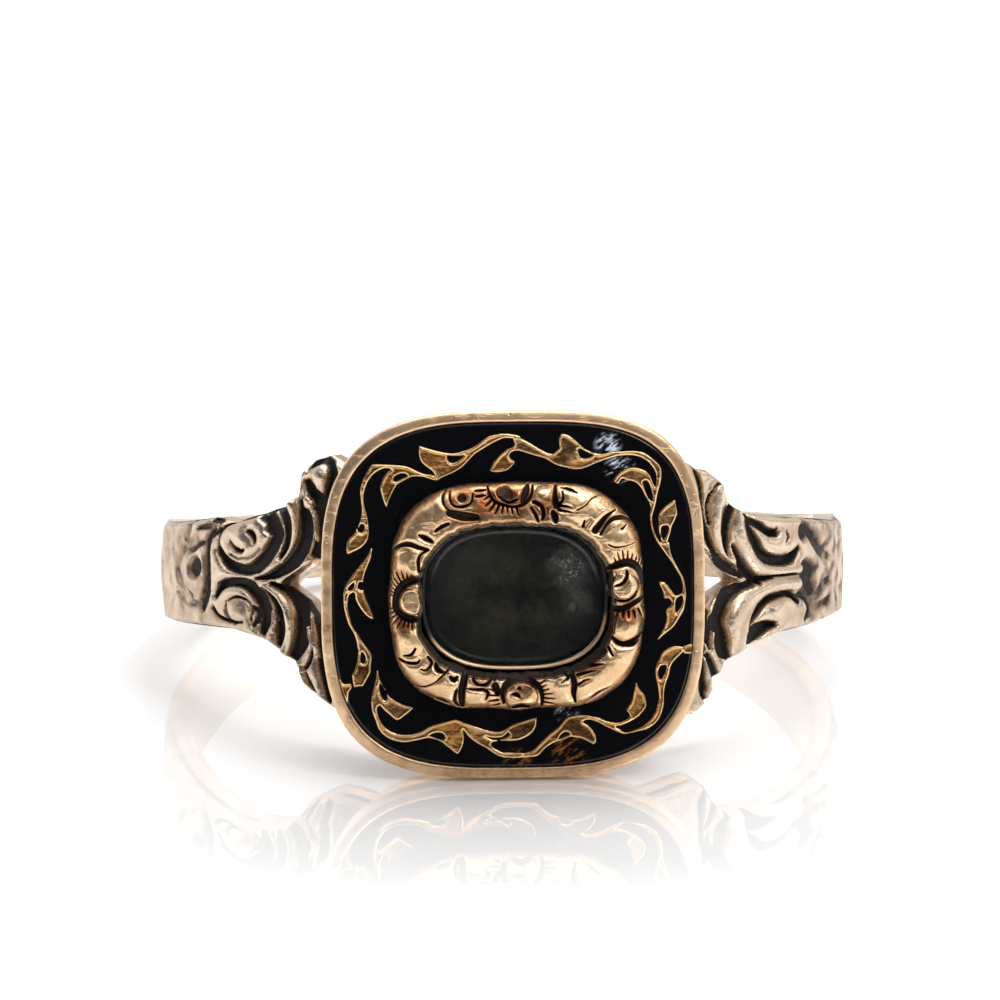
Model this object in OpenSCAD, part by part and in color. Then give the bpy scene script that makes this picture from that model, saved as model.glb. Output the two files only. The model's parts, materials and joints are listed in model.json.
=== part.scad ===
// A gold mourning ring lying on its side: a hoop with pierced, chased shoulders, a cushion
// head with a scrolled enamel border, a chased frame and a glazed hair compartment.
// The shapes are drawn in the ring's own frame: the finger hole runs along Z and the head
// looks along -Y. The last step tips the ring onto its rim and the back of its hoop.

/* [Hoop] */
// Diameter of the finger hole
finger_hole_d = 18; // [18:0.1:18.6]
// Wall of the plain back of the hoop
hoop_wall = 0.85; // [0.8:0.05:0.95]
// Width of the hoop at the back
hoop_back_w = 1.9; // [1.7:0.05:2.3]
// Width of the hoop at its sides
hoop_side_w = 2.7; // [2.5:0.05:2.9]
// Fall of the hoop's rounded outer face from its middle to its edges at the sides
hoop_crown = 0.2; // [0.1:0.05:0.3]

/* [Shoulders] */
// Ground of the chased shoulders above the finger hole
shoulder_ground = 0.55; // [0.45:0.05:0.65]
// Greatest height of the chasing above its ground
chasing_h = 0.5; // [0.3:0.05:0.6]

/* [Head] */
// Width of the head across the finger
head_w = 10.54; // [10:0.02:11]
// Height of the head along the finger
head_h = 10.12; // [9.8:0.02:10.4]
// Distance from the middle of the finger hole to the rim's face
head_front = 11; // [10.9:0.05:11.3]
// Width of the plain rim round the enamel
rim_w = 0.33; // [0.25:0.01:0.4]
// Height of the rim's upright edge
rim_edge_h = 0.45; // [0.35:0.05:0.6]

/* [Enamel] */
// Thickness of the enamel
enamel_t = 0.35; // [0.25:0.05:0.45]
// Rise of the enamel from the rim to the frame
enamel_rise = 0.15; // [0.1:0.05:0.4]

/* [Frame] */
// Width of the chased frame
frame_w = 7; // [6.8:0.02:7.2]
// Height of the chased frame
frame_h = 6.24; // [6:0.02:6.4]
// Width of the opening in the frame
frame_open_w = 5.36; // [5.3:0.02:5.5]
// Height of the opening in the frame
frame_open_h = 4.24; // [4.2:0.02:4.4]
// Height of the frame's crest above the rim's face
frame_crest = 0.9; // [0.8:0.05:1]

/* [Window] */
// Width of the glass
glass_w = 4.95; // [4.85:0.01:5]
// Height of the glass
glass_h = 3.87; // [3.8:0.01:3.9]
// Rise of the glass from its edge to its middle
glass_dome = 0.18; // [0.1:0.02:0.3]
// Thickness of the collet that holds the glass
collet_t = 0.12; // [0.1:0.01:0.13]

/* [Hidden] */
$fn = 96;
gap = 0.02;
over = 0.5;
gold = [0.80, 0.62, 0.38];
black = [0.03, 0.03, 0.04];
hair = [0.16, 0.13, 0.09];
clear = [0.75, 0.80, 0.78, 0.5];

bore_r = finger_hole_d / 2;
hoop_r = bore_r + hoop_wall;
hoop_neck_y = 0.55 * bore_r;
hoop_neck_w = hoop_back_w + 0.1;
ground_r = bore_r + shoulder_ground;
arc_r = bore_r + shoulder_ground + chasing_h / 2;

// Powers of the cushion outline in its four quarters, from the upper right one on
head_powers = [3.5, 3.15, 3.2, 3.1];
frame_powers = [2.9, 2.9, 2.9, 2.9];
window_powers = [2.7, 2.7, 2.7, 2.7];
outline_steps = 72;

// The frame sits a little to the right of the middle of the head, the window a little lower down
frame_at = [0.09, 0];
window_at = [0.04, -0.02];

// The ring leans on the back edge of its rim and on the outer edge of the hoop's back
rim_foot = head_front - rim_edge_h;
back_edge_r = crown_r(hoop_back_w / 2);
tip_angle = atan((head_h - hoop_back_w) / 2 / (rim_foot + back_edge_r));
lift = head_h / 2 * cos(tip_angle) - rim_foot * sin(tip_angle);
front_reach = head_front + frame_crest;
front_y = -front_reach * cos(tip_angle) - 0.4 * frame_h * sin(tip_angle);
back_y = back_edge_r * cos(tip_angle) + hoop_back_w / 2 * sin(tip_angle);
middle_y = (front_y + back_y) / 2;

// How far the frame stands out over the enamel
seat_inset = 0.25;

// Distance from the finger hole's middle to the levels of the head
enamel_low = head_front - 0.02;
enamel_high = enamel_low + enamel_rise;
pocket_floor = head_front - 0.95;
window_level = head_front + 0.05;
glass_t = 0.2;
collet_lip = 0.05;
frame_foot = enamel_high + gap;
frame_rise = head_front + frame_crest - frame_foot;

// Helpers

// Smooth step from 0 at low to 1 at high
function ease(low, high, x) =
    let (t = min(1, max(0, (x - low) / (high - low)))) t * t * (3 - 2 * t);

// Rounded bump of height 1 over the middle, falling to 0 at a distance of 1
function bump(d) = d < 1 ? 1 - d * d : 0;

function quarter(a) = floor(a / 90);

function cushion_r(a, hw, hh, power) =
    pow(pow(abs(cos(a)) / hw, power) + pow(abs(sin(a)) / hh, power), -1 / power);

function cushion_point(a, hw, hh, powers, at) =
    at + cushion_r(a, hw, hh, powers[quarter(a)]) * [cos(a), sin(a)];

// A cushion outline as points, counterclockwise as seen from the front
function cushion(hw, hh, powers, at = [0, 0], count = outline_steps) =
    [for (i = [0:count - 1]) cushion_point(360 * i / count, hw, hh, powers, at)];

// Points of an outline at a distance in front of the finger hole's middle
function at_level(outline, level) = [for (p = outline) [p[0], -level, p[1]]];

// Faces of the wall between ring a and ring b of a loft
function wall_faces(a, b, count) = [
    for (i = [0:count - 1])
        let (k = (i + 1) % count)
            each [
                [a * count + i, b * count + i, b * count + k],
                [a * count + i, b * count + k, a * count + k]
            ]
];

// Solid through closed rings from the back to the front
module loft(rings) {
    count = len(rings[0]);
    last = len(rings) - 1;
    polyhedron(
        points = [for (ring = rings) each ring],
        faces = concat(
            [[for (i = [0:count - 1]) i]],
            [for (j = [0:last - 1]) each wall_faces(j, j + 1, count)],
            [[for (i = [count - 1:-1:0]) last * count + i]]
        )
    );
}

// Ring-shaped solid through closed rings: outside from back to front, then inside back again
module ring_loft(rings) {
    count = len(rings[0]);
    total = len(rings);
    polyhedron(
        points = [for (ring = rings) each ring],
        faces = [for (j = [0:total - 1]) each wall_faces(j, (j + 1) % total, count)]
    );
}

// Prism of a face outline between two levels
module face_prism(low, high) {
    translate([0, -low, 0])
        rotate([90, 0, 0])
            linear_extrude(height = high - low)
                children();
}

// Enamel scrolls

// Stems of the scrolls: x and z on the face, and half width, from root to tip
STEMS = [
    [[-2.20, 3.22, 0.09], [-1.70, 3.32, 0.07], [-1.15, 3.88, 0.10], [-0.40, 4.35, 0.10],
     [0.25, 4.22, 0.10], [0.95, 3.85, 0.10], [1.60, 3.50, 0.10], [2.30, 3.70, 0.09],
     [3.05, 3.92, 0.08], [3.65, 3.82, 0.09], [3.97, 3.25, 0.09], [3.87, 2.55, 0.07],
     [3.82, 1.90, 0.06], [4.10, 1.37, 0.09], [4.50, 0.75, 0.07], [4.70, 0.00, 0.06],
     [4.50, -0.60, 0.12], [3.97, -1.22, 0.02]],
    [[-2.10, 3.22, 0.06], [-2.85, 3.42, 0.10], [-3.40, 3.56, 0.08], [-3.87, 3.50, 0.09],
     [-4.08, 3.05, 0.08], [-4.12, 2.55, 0.07], [-4.03, 2.10, 0.09], [-3.98, 1.70, 0.08]],
    [[-3.90, 1.33, 0.02], [-3.95, 1.00, 0.07], [-4.30, 0.57, 0.09], [-4.60, 0.20, 0.06],
     [-4.60, -0.30, 0.05], [-4.40, -0.95, 0.06], [-4.20, -1.40, 0.09]],
    [[-3.72, -2.00, 0.02], [-3.72, -2.35, 0.07], [-3.84, -2.90, 0.07], [-3.75, -3.50, 0.07],
     [-3.35, -3.92, 0.07], [-2.75, -3.97, 0.07], [-2.15, -3.66, 0.09], [-1.60, -3.48, 0.12],
     [-1.10, -3.85, 0.07], [-0.55, -4.28, 0.06], [0.00, -4.42, 0.05], [0.62, -4.38, 0.06],
     [1.10, -4.00, 0.07], [1.45, -3.50, 0.10], [1.95, -3.34, 0.09], [2.50, -3.58, 0.08],
     [3.00, -3.78, 0.07], [3.55, -3.66, 0.05], [3.95, -3.25, 0.07], [4.07, -2.75, 0.08],
     [3.98, -2.25, 0.09]],
];

// Leaves of the scrolls: root x and z, bend x and z, tip x and z, half width
LEAVES = [
    [-1.25, 3.85, -2.00, 3.30, -2.60, 4.15, 0.33],
    [0.05, 4.20, -0.05, 3.70, -0.65, 3.40, 0.20],
    [1.95, 3.60, 1.35, 3.70, 1.27, 4.42, 0.24],
    [3.87, 2.45, 3.75, 3.75, 2.78, 3.05, 0.17],
    [4.08, 1.38, 4.00, 2.10, 4.46, 2.56, 0.20],
    [4.50, -0.40, 4.20, 0.00, 4.03, 0.33, 0.13],
    [3.98, -2.35, 3.90, -1.50, 4.95, -1.37, 0.20],
    [2.45, -3.50, 3.70, -3.35, 3.36, -2.47, 0.20],
    [1.30, -3.75, 2.30, -3.20, 2.18, -4.32, 0.20],
    [-0.80, -3.95, 0.20, -4.20, 0.62, -3.42, 0.24],
    [-1.75, -3.55, -1.50, -4.00, -1.50, -4.37, 0.24],
    [-3.70, -2.75, -3.40, -3.50, -2.78, -3.13, 0.20],
    [-4.17, -1.30, -3.90, -2.00, -4.40, -2.55, 0.22],
    [-4.02, 0.84, -4.40, 0.10, -3.87, -0.65, 0.13],
    [-4.02, 1.90, -3.85, 1.30, -4.55, 1.14, 0.20],
    [-3.10, 3.45, -3.70, 3.20, -3.48, 2.46, 0.18],
];

// Catmull-Rom curve through the rows of a stem, each span cut into steps
function smooth(rows, steps = 3) =
    let (n = len(rows))
        [for (i = [0:n - 2], s = [0:steps - (i == n - 2 ? 0 : 1)])
            let (
                t = s / steps,
                p0 = rows[max(0, i - 1)],
                p1 = rows[i],
                p2 = rows[i + 1],
                p3 = rows[min(n - 1, i + 2)]
            )
                0.5 * (2 * p1 + (p2 - p0) * t + (2 * p0 - 5 * p1 + 4 * p2 - p3) * t * t
                    + (3 * p1 - p0 - 3 * p2 + p3) * t * t * t)];

// Points at the side of a path of x, z and half width, which reaches out past both of its ends
function beside(path, side, extra) =
    let (last = len(path) - 1)
        [for (i = [0:last])
            let (
                a = path[max(0, i - 1)],
                b = path[min(last, i + 1)],
                d = [b[0] - a[0], b[1] - a[1]],
                w = path[i][2] + extra,
                past = i == 0 ? -extra : i == last ? extra : 0
            )
                [path[i][0], path[i][1]] + (side * w * [-d[1], d[0]] + past * d) / norm(d)];

function backwards(list) = [for (i = [len(list) - 1:-1:0]) list[i]];

// Leaf along a quadratic curve, widest just past its middle
function leaf_path(row, steps = 7) = [
    for (i = [0:steps])
        let (t = i / steps, u = 1 - t, w = row[6] * pow(sin(180 * pow(t, 1.15)), 0.8))
            [
                u * u * row[0] + 2 * u * t * row[2] + t * t * row[4],
                u * u * row[1] + 2 * u * t * row[3] + t * t * row[5],
                max(0.02, w)
            ]
];

module ribbon(path, extra) {
    polygon(concat(beside(path, 1, extra), backwards(beside(path, -1, extra))));
}

module scrolls(extra) {
    for (rows = STEMS)
        ribbon(smooth(rows), extra);
    for (row = LEAVES)
        ribbon(leaf_path(row), extra);
}

// Solid that the enamel fills, from the rim to under the frame
module enamel_bed(grow, thickness) {
    outer_w = head_w / 2 - rim_w + grow;
    outer_h = head_h / 2 - rim_w + grow;
    inner_w = frame_w / 2 - seat_inset - grow;
    inner_h = frame_h / 2 - seat_inset - grow;
    outer = cushion(outer_w, outer_h, head_powers);
    inner = cushion(inner_w, inner_h, frame_powers, frame_at);
    ring_loft([
        at_level(outer, enamel_low - thickness - grow),
        at_level(outer, enamel_low + grow),
        at_level(inner, enamel_high + grow),
        at_level(inner, enamel_high - thickness - grow)
    ]);
}

// Shoulders

// Radius of the hoop's rounded outer face at a height along the finger
function crown_r(z) = hoop_r - hoop_crown * pow(2 * z / hoop_side_w, 2);

// Half widths of the shoulder: angle from the middle of the head, inner edge and outer edge
BRANCH = [
    [100, 0.00, 1.22],
    [90, 0.00, 1.36],
    [60, 0.00, 1.45],
    [50, 0.00, 1.60],
    [45, 0.00, 1.78],
    [41, 0.00, 2.15],
    [37.5, 0.45, 2.45],
    [36.2, 0.60, 2.85],
    [34, 0.85, 3.25],
    [31, 1.20, 3.50],
    [26, 1.60, 3.50],
    [18, 1.60, 3.50],
];
split_angle = 41;

// How far the skin falls towards the edges of a branch
edge_fall = 0.15;

function branch_edge(a, column) = lookup(-a, [for (row = BRANCH) [-row[0], row[column]]]);

// Arc length along the shoulder at an angle
function along(a) = arc_r * a * PI / 180;

function place(a, z) = [along(a), z];

// Round beads and lobes: angle, height along the finger, radius
BEADS = [
    [66.5, 0.00, 0.40],
    [50.5, 0.85, 0.30],
    [35.4, 2.40, 0.22],
    [33.5, 2.95, 0.42],
    [34.0, 1.75, 0.35],
];

// Ribs: angle and height at both ends, half width
RIBS = [
    [58.0, 0.15, 46.0, 0.12, 0.17],
    [46.0, 0.12, 41.0, 0.50, 0.20],
    [41.0, 0.50, 38.3, 1.05, 0.20],
    [38.3, 1.05, 38.0, 1.80, 0.20],
    [38.0, 1.80, 39.8, 2.25, 0.18],
    [42.0, 0.85, 41.8, 1.50, 0.17],
    [35.3, 0.95, 35.0, 1.50, 0.17],
    [31.0, 2.60, 30.2, 3.40, 0.20],
];

// Rolls: angle and height of the middle, radius of the ring, half width of its roll
ROLLS = [
    [67.0, 0.00, 0.78, 0.20],
    [50.5, 0.85, 0.62, 0.17],
];

function to_segment(p, a, b) =
    let (ab = b - a, t = min(1, max(0, (p - a) * ab / (ab * ab)))) norm(p - a - t * ab);

// Height of the chasing from 0 to 1 at an angle and a height along the finger
function chasing(a, z) =
    let (p = place(a, z))
        max(concat(
            [0],
            [for (b = BEADS) bump(norm(p - place(b[0], b[1])) / b[2])],
            [for (r = RIBS) 0.9 * bump(to_segment(p, place(r[0], r[1]), place(r[2], r[3])) / r[4])],
            [for (r = ROLLS) 0.9 * bump(abs(norm(p - place(r[0], r[1])) - r[2]) / r[3])]
        ));

// Radius of the shoulder's skin, lower along its edges and plain where it meets the hoop
function shoulder_r(a, z, v) =
    let (
        plain = ease(78, 94, a),
        inner_edge = a < split_angle ? 1 - ease(0, 0.2, v) : 0,
        outer_edge = 1 - ease(0, 0.15, 1 - v),
        worked = ground_r + chasing_h * chasing(a, z) - edge_fall * (inner_edge + outer_edge)
    )
        worked + (crown_r(z) + gap - worked) * plain;

function on_hoop(a, r, z) = [-r * sin(a), -r * cos(a), z];

// Angles of the rows: wide steps over the plain end and inside the head, one degree between
ROW_ANGLES = concat([100, 95, 90, 85], [for (a = [83:-1:27]) a], [24, 21, 18]);

across = 11;
split_row = 83 - split_angle + 4;
row_points = 2 * across + 6;

// Skin points of one half of a row, from the inner edge to the outer edge
function half_skin(a, side) =
    let (low = branch_edge(a, 1), high = branch_edge(a, 2))
        [for (j = [0:across])
            let (v = j / across, z = low + v * (high - low))
                on_hoop(a, shoulder_r(a, z, v), side * z)];

// All points of a row: both skins, then the four corners inside the finger hole
function shoulder_row(a) =
    let (low = branch_edge(a, 1), high = branch_edge(a, 2), inside = bore_r - 0.25)
        concat(
            half_skin(a, 1),
            half_skin(a, -1),
            [for (z = [high, low, -high, -low]) on_hoop(a, inside, z)]
        );

// Where each point of a row stands in the list; the halves share their middle up to the split
function upper_at(i, j) = i * row_points + j;
function lower_at(i, j) = j == 0 && i <= split_row ? upper_at(i, 0) : i * row_points + across + 1 + j;
function corner_at(i, k) = i * row_points + 2 * across + 2 + (k == 3 && i <= split_row ? 1 : k);

// Two triangles of the quad a b c d
function quad(a, b, c, d) = [[a, c, b], [a, d, c]];

// One shoulder: a single strap that opens into two branches at the split
module shoulder() {
    last = len(ROW_ANGLES) - 1;
    points = [for (a = ROW_ANGLES) each shoulder_row(a)];
    skins = [
        for (i = [0:last - 1], j = [0:across - 1])
            each concat(
                quad(upper_at(i, j), upper_at(i + 1, j), upper_at(i + 1, j + 1), upper_at(i, j + 1)),
                quad(lower_at(i, j), lower_at(i, j + 1), lower_at(i + 1, j + 1), lower_at(i + 1, j))
            )
    ];
    walls = [
        for (i = [0:last - 1])
            each concat(
                quad(upper_at(i, across), upper_at(i + 1, across), corner_at(i + 1, 0), corner_at(i, 0)),
                quad(corner_at(i, 0), corner_at(i + 1, 0), corner_at(i + 1, 1), corner_at(i, 1)),
                quad(lower_at(i, across), corner_at(i, 2), corner_at(i + 1, 2), lower_at(i + 1, across)),
                quad(corner_at(i, 2), corner_at(i, 3), corner_at(i + 1, 3), corner_at(i + 1, 2))
            )
    ];
    gap_walls = [
        for (i = [split_row:last - 1])
            each concat(
                quad(upper_at(i, 0), corner_at(i, 1), corner_at(i + 1, 1), upper_at(i + 1, 0)),
                quad(lower_at(i, 0), lower_at(i + 1, 0), corner_at(i + 1, 3), corner_at(i, 3))
            )
    ];
    caps = [
        for (j = [0:across - 1])
            each [
                [corner_at(0, 1), upper_at(0, j + 1), upper_at(0, j)],
                [corner_at(0, 1), lower_at(0, j), lower_at(0, j + 1)],
                [corner_at(last, 1), upper_at(last, j), upper_at(last, j + 1)],
                [corner_at(last, 3), lower_at(last, j + 1), lower_at(last, j)]
            ]
    ];
    corners = [
        [corner_at(0, 1), corner_at(0, 0), upper_at(0, across)],
        [corner_at(0, 1), lower_at(0, across), corner_at(0, 2)],
        [corner_at(last, 1), upper_at(last, across), corner_at(last, 0)],
        [corner_at(last, 3), corner_at(last, 2), lower_at(last, across)]
    ];
    polyhedron(points = points, faces = concat(skins, walls, gap_walls, caps, corners));
}

module shoulders() {
    for (turned = [0, 1])
        mirror([turned, 0, 0])
            shoulder();
}

function crown_point(z) = [crown_r(z), z];

// Plain back of the hoop, narrowing towards the back
module hoop() {
    reach = hoop_r + over;
    intersection() {
        rotate_extrude()
            polygon(concat(
                [[bore_r - over, -hoop_side_w]],
                [for (t = [-1.2:0.3:1.2]) crown_point(t * hoop_side_w / 2)],
                [[bore_r - over, hoop_side_w]]
            ));
        rotate([90, 0, 90])
            linear_extrude(height = 2 * reach, center = true)
                polygon([
                    [0, -hoop_side_w / 2],
                    [hoop_neck_y, -hoop_neck_w / 2],
                    [hoop_r, -hoop_back_w / 2],
                    [hoop_r, hoop_back_w / 2],
                    [hoop_neck_y, hoop_neck_w / 2],
                    [0, hoop_side_w / 2]
                ]);
    }
}

// Head without its enamel, frame and window
module head_block() {
    rim = cushion(head_w / 2, head_h / 2, head_powers);
    waist = cushion(head_w / 2 - 0.55, head_h / 2 - 0.55, head_powers);
    foot = cushion(head_w / 2 - 1.1, head_h / 2 - 1.1, head_powers);
    loft([
        at_level(foot, bore_r - 1.8),
        at_level(waist, rim_foot - 1),
        at_level(rim, rim_foot),
        at_level(rim, head_front)
    ]);
}

// Raised middle of the head that carries the frame
module frame_seat() {
    seat_w = frame_w / 2 - seat_inset + gap;
    seat_h = frame_h / 2 - seat_inset + gap;
    face_prism(pocket_floor, enamel_high)
        polygon(cushion(seat_w, seat_h, frame_powers, frame_at));
}

module window_pocket() {
    face_prism(pocket_floor, head_front + over)
        polygon(cushion(frame_open_w / 2, frame_open_h / 2, window_powers, window_at));
}

module ring_solid() {
    difference() {
        union() {
            hoop();
            shoulders();
            difference() {
                union() {
                    head_block();
                    frame_seat();
                }
                enamel_bed(gap, enamel_t);
            }
            intersection() {
                face_prism(pocket_floor, head_front + over)
                    scrolls(0);
                enamel_bed(-gap / 2, enamel_t + over / 2);
            }
        }
        window_pocket();
        cylinder(r = bore_r, h = 2 * head_h, center = true);
    }
}

// Chased frame

frame_steps = 144;
frame_across = 8;

// Beads of the frame: angle round the face, place from the outer edge (0) to the inner (1), radius
FRAME_BEADS = [
    [7, 0.72, 0.42],
    [91.5, 0.45, 0.50],
    [181, 0.72, 0.38],
    [271.5, 0.68, 0.50],
];

// Rolls across the corners: angle and half width in degrees
FRAME_ROLLS = [
    [50, 11],
    [132, 11],
    [226, 11],
    [318, 11],
];

// Grooves across the frame: angle and half width in degrees
FRAME_GROOVES = [
    [22, 2.5],
    [34, 3],
    [70, 3],
    [79, 2.5],
    [104, 2.5],
    [116, 3],
    [151, 3],
    [165, 2.5],
    [196, 2.5],
    [207, 3],
    [243, 3],
    [256, 2.5],
    [287, 2.5],
    [298, 3],
    [336, 3],
    [350, 2.5],
];

function turn_between(a, b) = let (d = abs(a - b)) min(d, 360 - d);

function frame_outer(a) = cushion_point(a, frame_w / 2, frame_h / 2, frame_powers, frame_at);

function frame_inner(a) = cushion_point(a, frame_open_w / 2, frame_open_h / 2, window_powers, window_at);

function frame_point(a, t) = frame_outer(a) * (1 - t) + frame_inner(a) * t;

// Height of the frame from 0 at its foot to 1 at its crest
function frame_relief(a, t) =
    let (
        p = frame_point(a, t),
        bead = max([for (b = FRAME_BEADS) bump(norm(p - frame_point(b[0], b[1])) / b[2])]),
        roll = max([for (r = FRAME_ROLLS) bump(turn_between(a, r[0]) / r[1])]),
        groove = max([for (g = FRAME_GROOVES) bump(turn_between(a, g[0]) / g[1])]),
        swell = bump((t - 0.5) / 0.6)
    )
        max(0.28 + swell * (0.42 + 0.3 * roll - 0.3 * groove), bead > 0 ? 0.5 + 0.5 * bead : 0);

// Stand the ring as it lies: tipped about X, lifted and centred front to back
module lying() {
    translate([0, -middle_y, lift])
        rotate([-tip_angle, 0, 0])
            children();
}

module ring_body() {
    color(gold)
        lying()
            ring_solid();
}

module enamel_border() {
    color(black)
        lying()
            difference() {
                enamel_bed(0, enamel_t);
                face_prism(pocket_floor, head_front + over)
                    scrolls(gap);
            }
}

module chased_frame() {
    angles = [for (i = [0:frame_steps - 1]) 360 * i / frame_steps];
    front = [
        for (j = [0:frame_across])
            let (t = j / frame_across)
                [for (a = angles)
                    let (p = frame_point(a, t))
                        [p[0], -frame_foot - frame_rise * frame_relief(a, t), p[1]]]
    ];
    outer_foot = at_level([for (a = angles) frame_outer(a)], frame_foot);
    inner_foot = at_level([for (a = angles) frame_inner(a)], frame_foot);
    color(gold)
        lying()
            ring_loft(concat([outer_foot], front, [inner_foot]));
}

// Thin upright wall with a lip turned in over the edge of the glass
module collet() {
    inner_w = glass_w / 2 + gap;
    inner_h = glass_h / 2 + gap;
    wall = cushion(inner_w + collet_t, inner_h + collet_t, window_powers, window_at);
    bore = cushion(inner_w, inner_h, window_powers, window_at);
    lip = cushion(inner_w - collet_lip, inner_h - collet_lip, window_powers, window_at);
    color(gold)
        lying()
            ring_loft([
                at_level(wall, pocket_floor + gap),
                at_level(wall, window_level + 2 * collet_lip),
                at_level(bore, window_level + 2.5 * collet_lip),
                at_level(lip, window_level + 2 * collet_lip),
                at_level(lip, window_level + 2 * gap),
                at_level(bore, window_level + 2 * gap),
                at_level(bore, pocket_floor + gap)
            ]);
}

module hair_panel() {
    color(hair)
        lying()
            face_prism(pocket_floor + gap, window_level - glass_t - 2 * gap)
                polygon(cushion(glass_w / 2, glass_h / 2, window_powers, window_at));
}

module glass() {
    edge = [
        at_level(cushion(glass_w / 2, glass_h / 2, window_powers, window_at), window_level - glass_t)
    ];
    dome = [
        for (t = [1, 0.88, 0.7, 0.48, 0.24])
            at_level(
                cushion(t * glass_w / 2, t * glass_h / 2, window_powers, window_at),
                window_level + glass_dome * (1 - t * t)
            )
    ];
    color(clear)
        lying()
            loft(concat(edge, dome));
}

ring_body();
enamel_border();
chased_frame();
collet();
hair_panel();
glass();
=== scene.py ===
"""A gold mourning ring lying on its side, dressed over its CAD frame.

All shapes are worked out in the ring's own frame in millimetres, with the finger hole along Z and
the head looking along -Y, and RingFrame places them as the ring lies, in metres.
"""
import json
import logging
import math
from dataclasses import dataclass, field
from enum import Enum
from typing import Any

import bpy
import numpy as np
from mathutils import Matrix, Vector


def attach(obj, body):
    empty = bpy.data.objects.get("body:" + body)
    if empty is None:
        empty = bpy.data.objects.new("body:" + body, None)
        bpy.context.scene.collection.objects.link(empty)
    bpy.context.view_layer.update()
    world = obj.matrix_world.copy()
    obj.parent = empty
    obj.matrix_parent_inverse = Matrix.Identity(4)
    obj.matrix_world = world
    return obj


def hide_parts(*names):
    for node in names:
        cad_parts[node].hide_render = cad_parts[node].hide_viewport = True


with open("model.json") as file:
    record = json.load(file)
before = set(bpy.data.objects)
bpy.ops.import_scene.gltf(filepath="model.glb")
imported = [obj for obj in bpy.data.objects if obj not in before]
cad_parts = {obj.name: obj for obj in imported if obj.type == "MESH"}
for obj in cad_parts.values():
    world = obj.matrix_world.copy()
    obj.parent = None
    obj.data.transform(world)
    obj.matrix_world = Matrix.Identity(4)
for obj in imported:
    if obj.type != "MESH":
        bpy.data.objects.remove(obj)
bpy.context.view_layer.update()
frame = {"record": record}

LOG = logging.getLogger("mourning_ring")
Array = np.ndarray
Points = tuple[tuple[float, ...], ...]
Colour = tuple[float, float, float]
MM = 0.001
LATTICE = 64


class Slot(Enum):
    """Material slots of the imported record."""

    GOLD = "gold"
    ENAMEL = "enamel"
    HAIR = "hair"
    GLASS = "glass"


class Form(Enum):
    """Cross-sections of a chased form."""

    ROLL = "round ridge or bead"
    SWELL = "broad soft ridge"
    CUT = "groove"


class Side(Enum):
    """Sides of the ring as seen from the front."""

    LEFT = -1
    RIGHT = 1


# Helpers on whole arrays


def ease(low: float, high: float, x: Array) -> Array:
    """Smooth step from 0 at low to 1 at high."""
    t = np.clip((np.asarray(x, dtype=float) - low) / (high - low), 0.0, 1.0)
    return t * t * (3.0 - 2.0 * t)


def flow(points: Array, steps: int = 5) -> Array:
    """Curve through given points: each span is the cubic whose end slopes are half the chord
    between the neighbours.

    Args:
        points: one row per point; every column is carried along.
        steps: parts that each span is cut into.

    Returns:
        The points of the curve.
    """
    if len(points) < 3:
        return points
    padded = np.vstack([points[:1], points, points[-1:]])
    p0, p1, p2, p3 = (padded[k:len(points) - 1 + k, None, :] for k in range(4))
    t = (np.arange(steps) / steps)[None, :, None]
    curve = 0.5 * (
        2 * p1 + (p2 - p0) * t + (2 * p0 - 5 * p1 + 4 * p2 - p3) * t**2
        + (3 * p1 - p0 - 3 * p2 + p3) * t**3
    )
    return np.vstack([curve.reshape(-1, points.shape[1]), points[-1:]])


def soften(field_: Array, reach: int, axis: int, wrap: bool = False) -> Array:
    """Running mean over 2 * reach + 1 samples along one axis, twice.

    Args:
        field_: values on a grid.
        reach: samples to each side.
        axis: the axis that is softened.
        wrap: whether the axis closes on itself.

    Returns:
        The softened grid.
    """
    for _ in range(2):
        pad = [(0, 0)] * field_.ndim
        pad[axis] = (reach + 1, reach)
        total = np.cumsum(np.pad(field_, pad, mode="wrap" if wrap else "edge"), axis=axis)
        count = field_.shape[axis]
        high = np.take(total, np.arange(2 * reach + 1, 2 * reach + 1 + count), axis=axis)
        field_ = (high - np.take(total, np.arange(count), axis=axis)) / (2 * reach + 1)
    return field_


def mottle(u: Array, v: Array, size: float, seed: int) -> Array:
    """Smooth noise from -1 to 1: random values on a lattice, eased between its corners.

    Args:
        u: first coordinate.
        v: second coordinate.
        size: width of a lattice cell in the same unit.
        seed: seed of the lattice.

    Returns:
        Noise of the shape of u.
    """
    lattice = np.random.default_rng(seed).uniform(-1.0, 1.0, (LATTICE, LATTICE))
    i, j = np.floor(u / size).astype(int), np.floor(v / size).astype(int)
    s, t = ease(0, 1, u / size - i), ease(0, 1, v / size - j)
    i, j, next_i, next_j = i % LATTICE, j % LATTICE, (i + 1) % LATTICE, (j + 1) % LATTICE
    near = lattice[i, j] * (1 - s) + lattice[next_i, j] * s
    far = lattice[i, next_j] * (1 - s) + lattice[next_i, next_j] * s
    return near * (1 - t) + far * t


# Chased forms


def nearness(u: Array, v: Array, path: Array) -> Array:
    """Distance of points to a path over its half width there, at the straight piece of the path
    where that ratio is smallest.

    Args:
        u: first coordinates of the points.
        v: second coordinates of the points.
        path: rows of u, v and half width.

    Returns:
        The ratio, of the shape of u; it is 1 at the path's sides.
    """
    ratio = np.full(u.shape, np.inf)
    for (au, av, aw), (bu, bv, bw) in zip(path[:-1], path[1:]):
        du, dv = bu - au, bv - av
        span = max(math.hypot(du, dv), 1e-6)
        t = np.clip(((u - au) * du + (v - av) * dv) / span**2, 0.0, 1.0)
        width = aw + t * (bw - aw)
        ratio = np.minimum(ratio, np.hypot(u - au - t * du, v - av - t * dv) / width)
    return ratio


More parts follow.
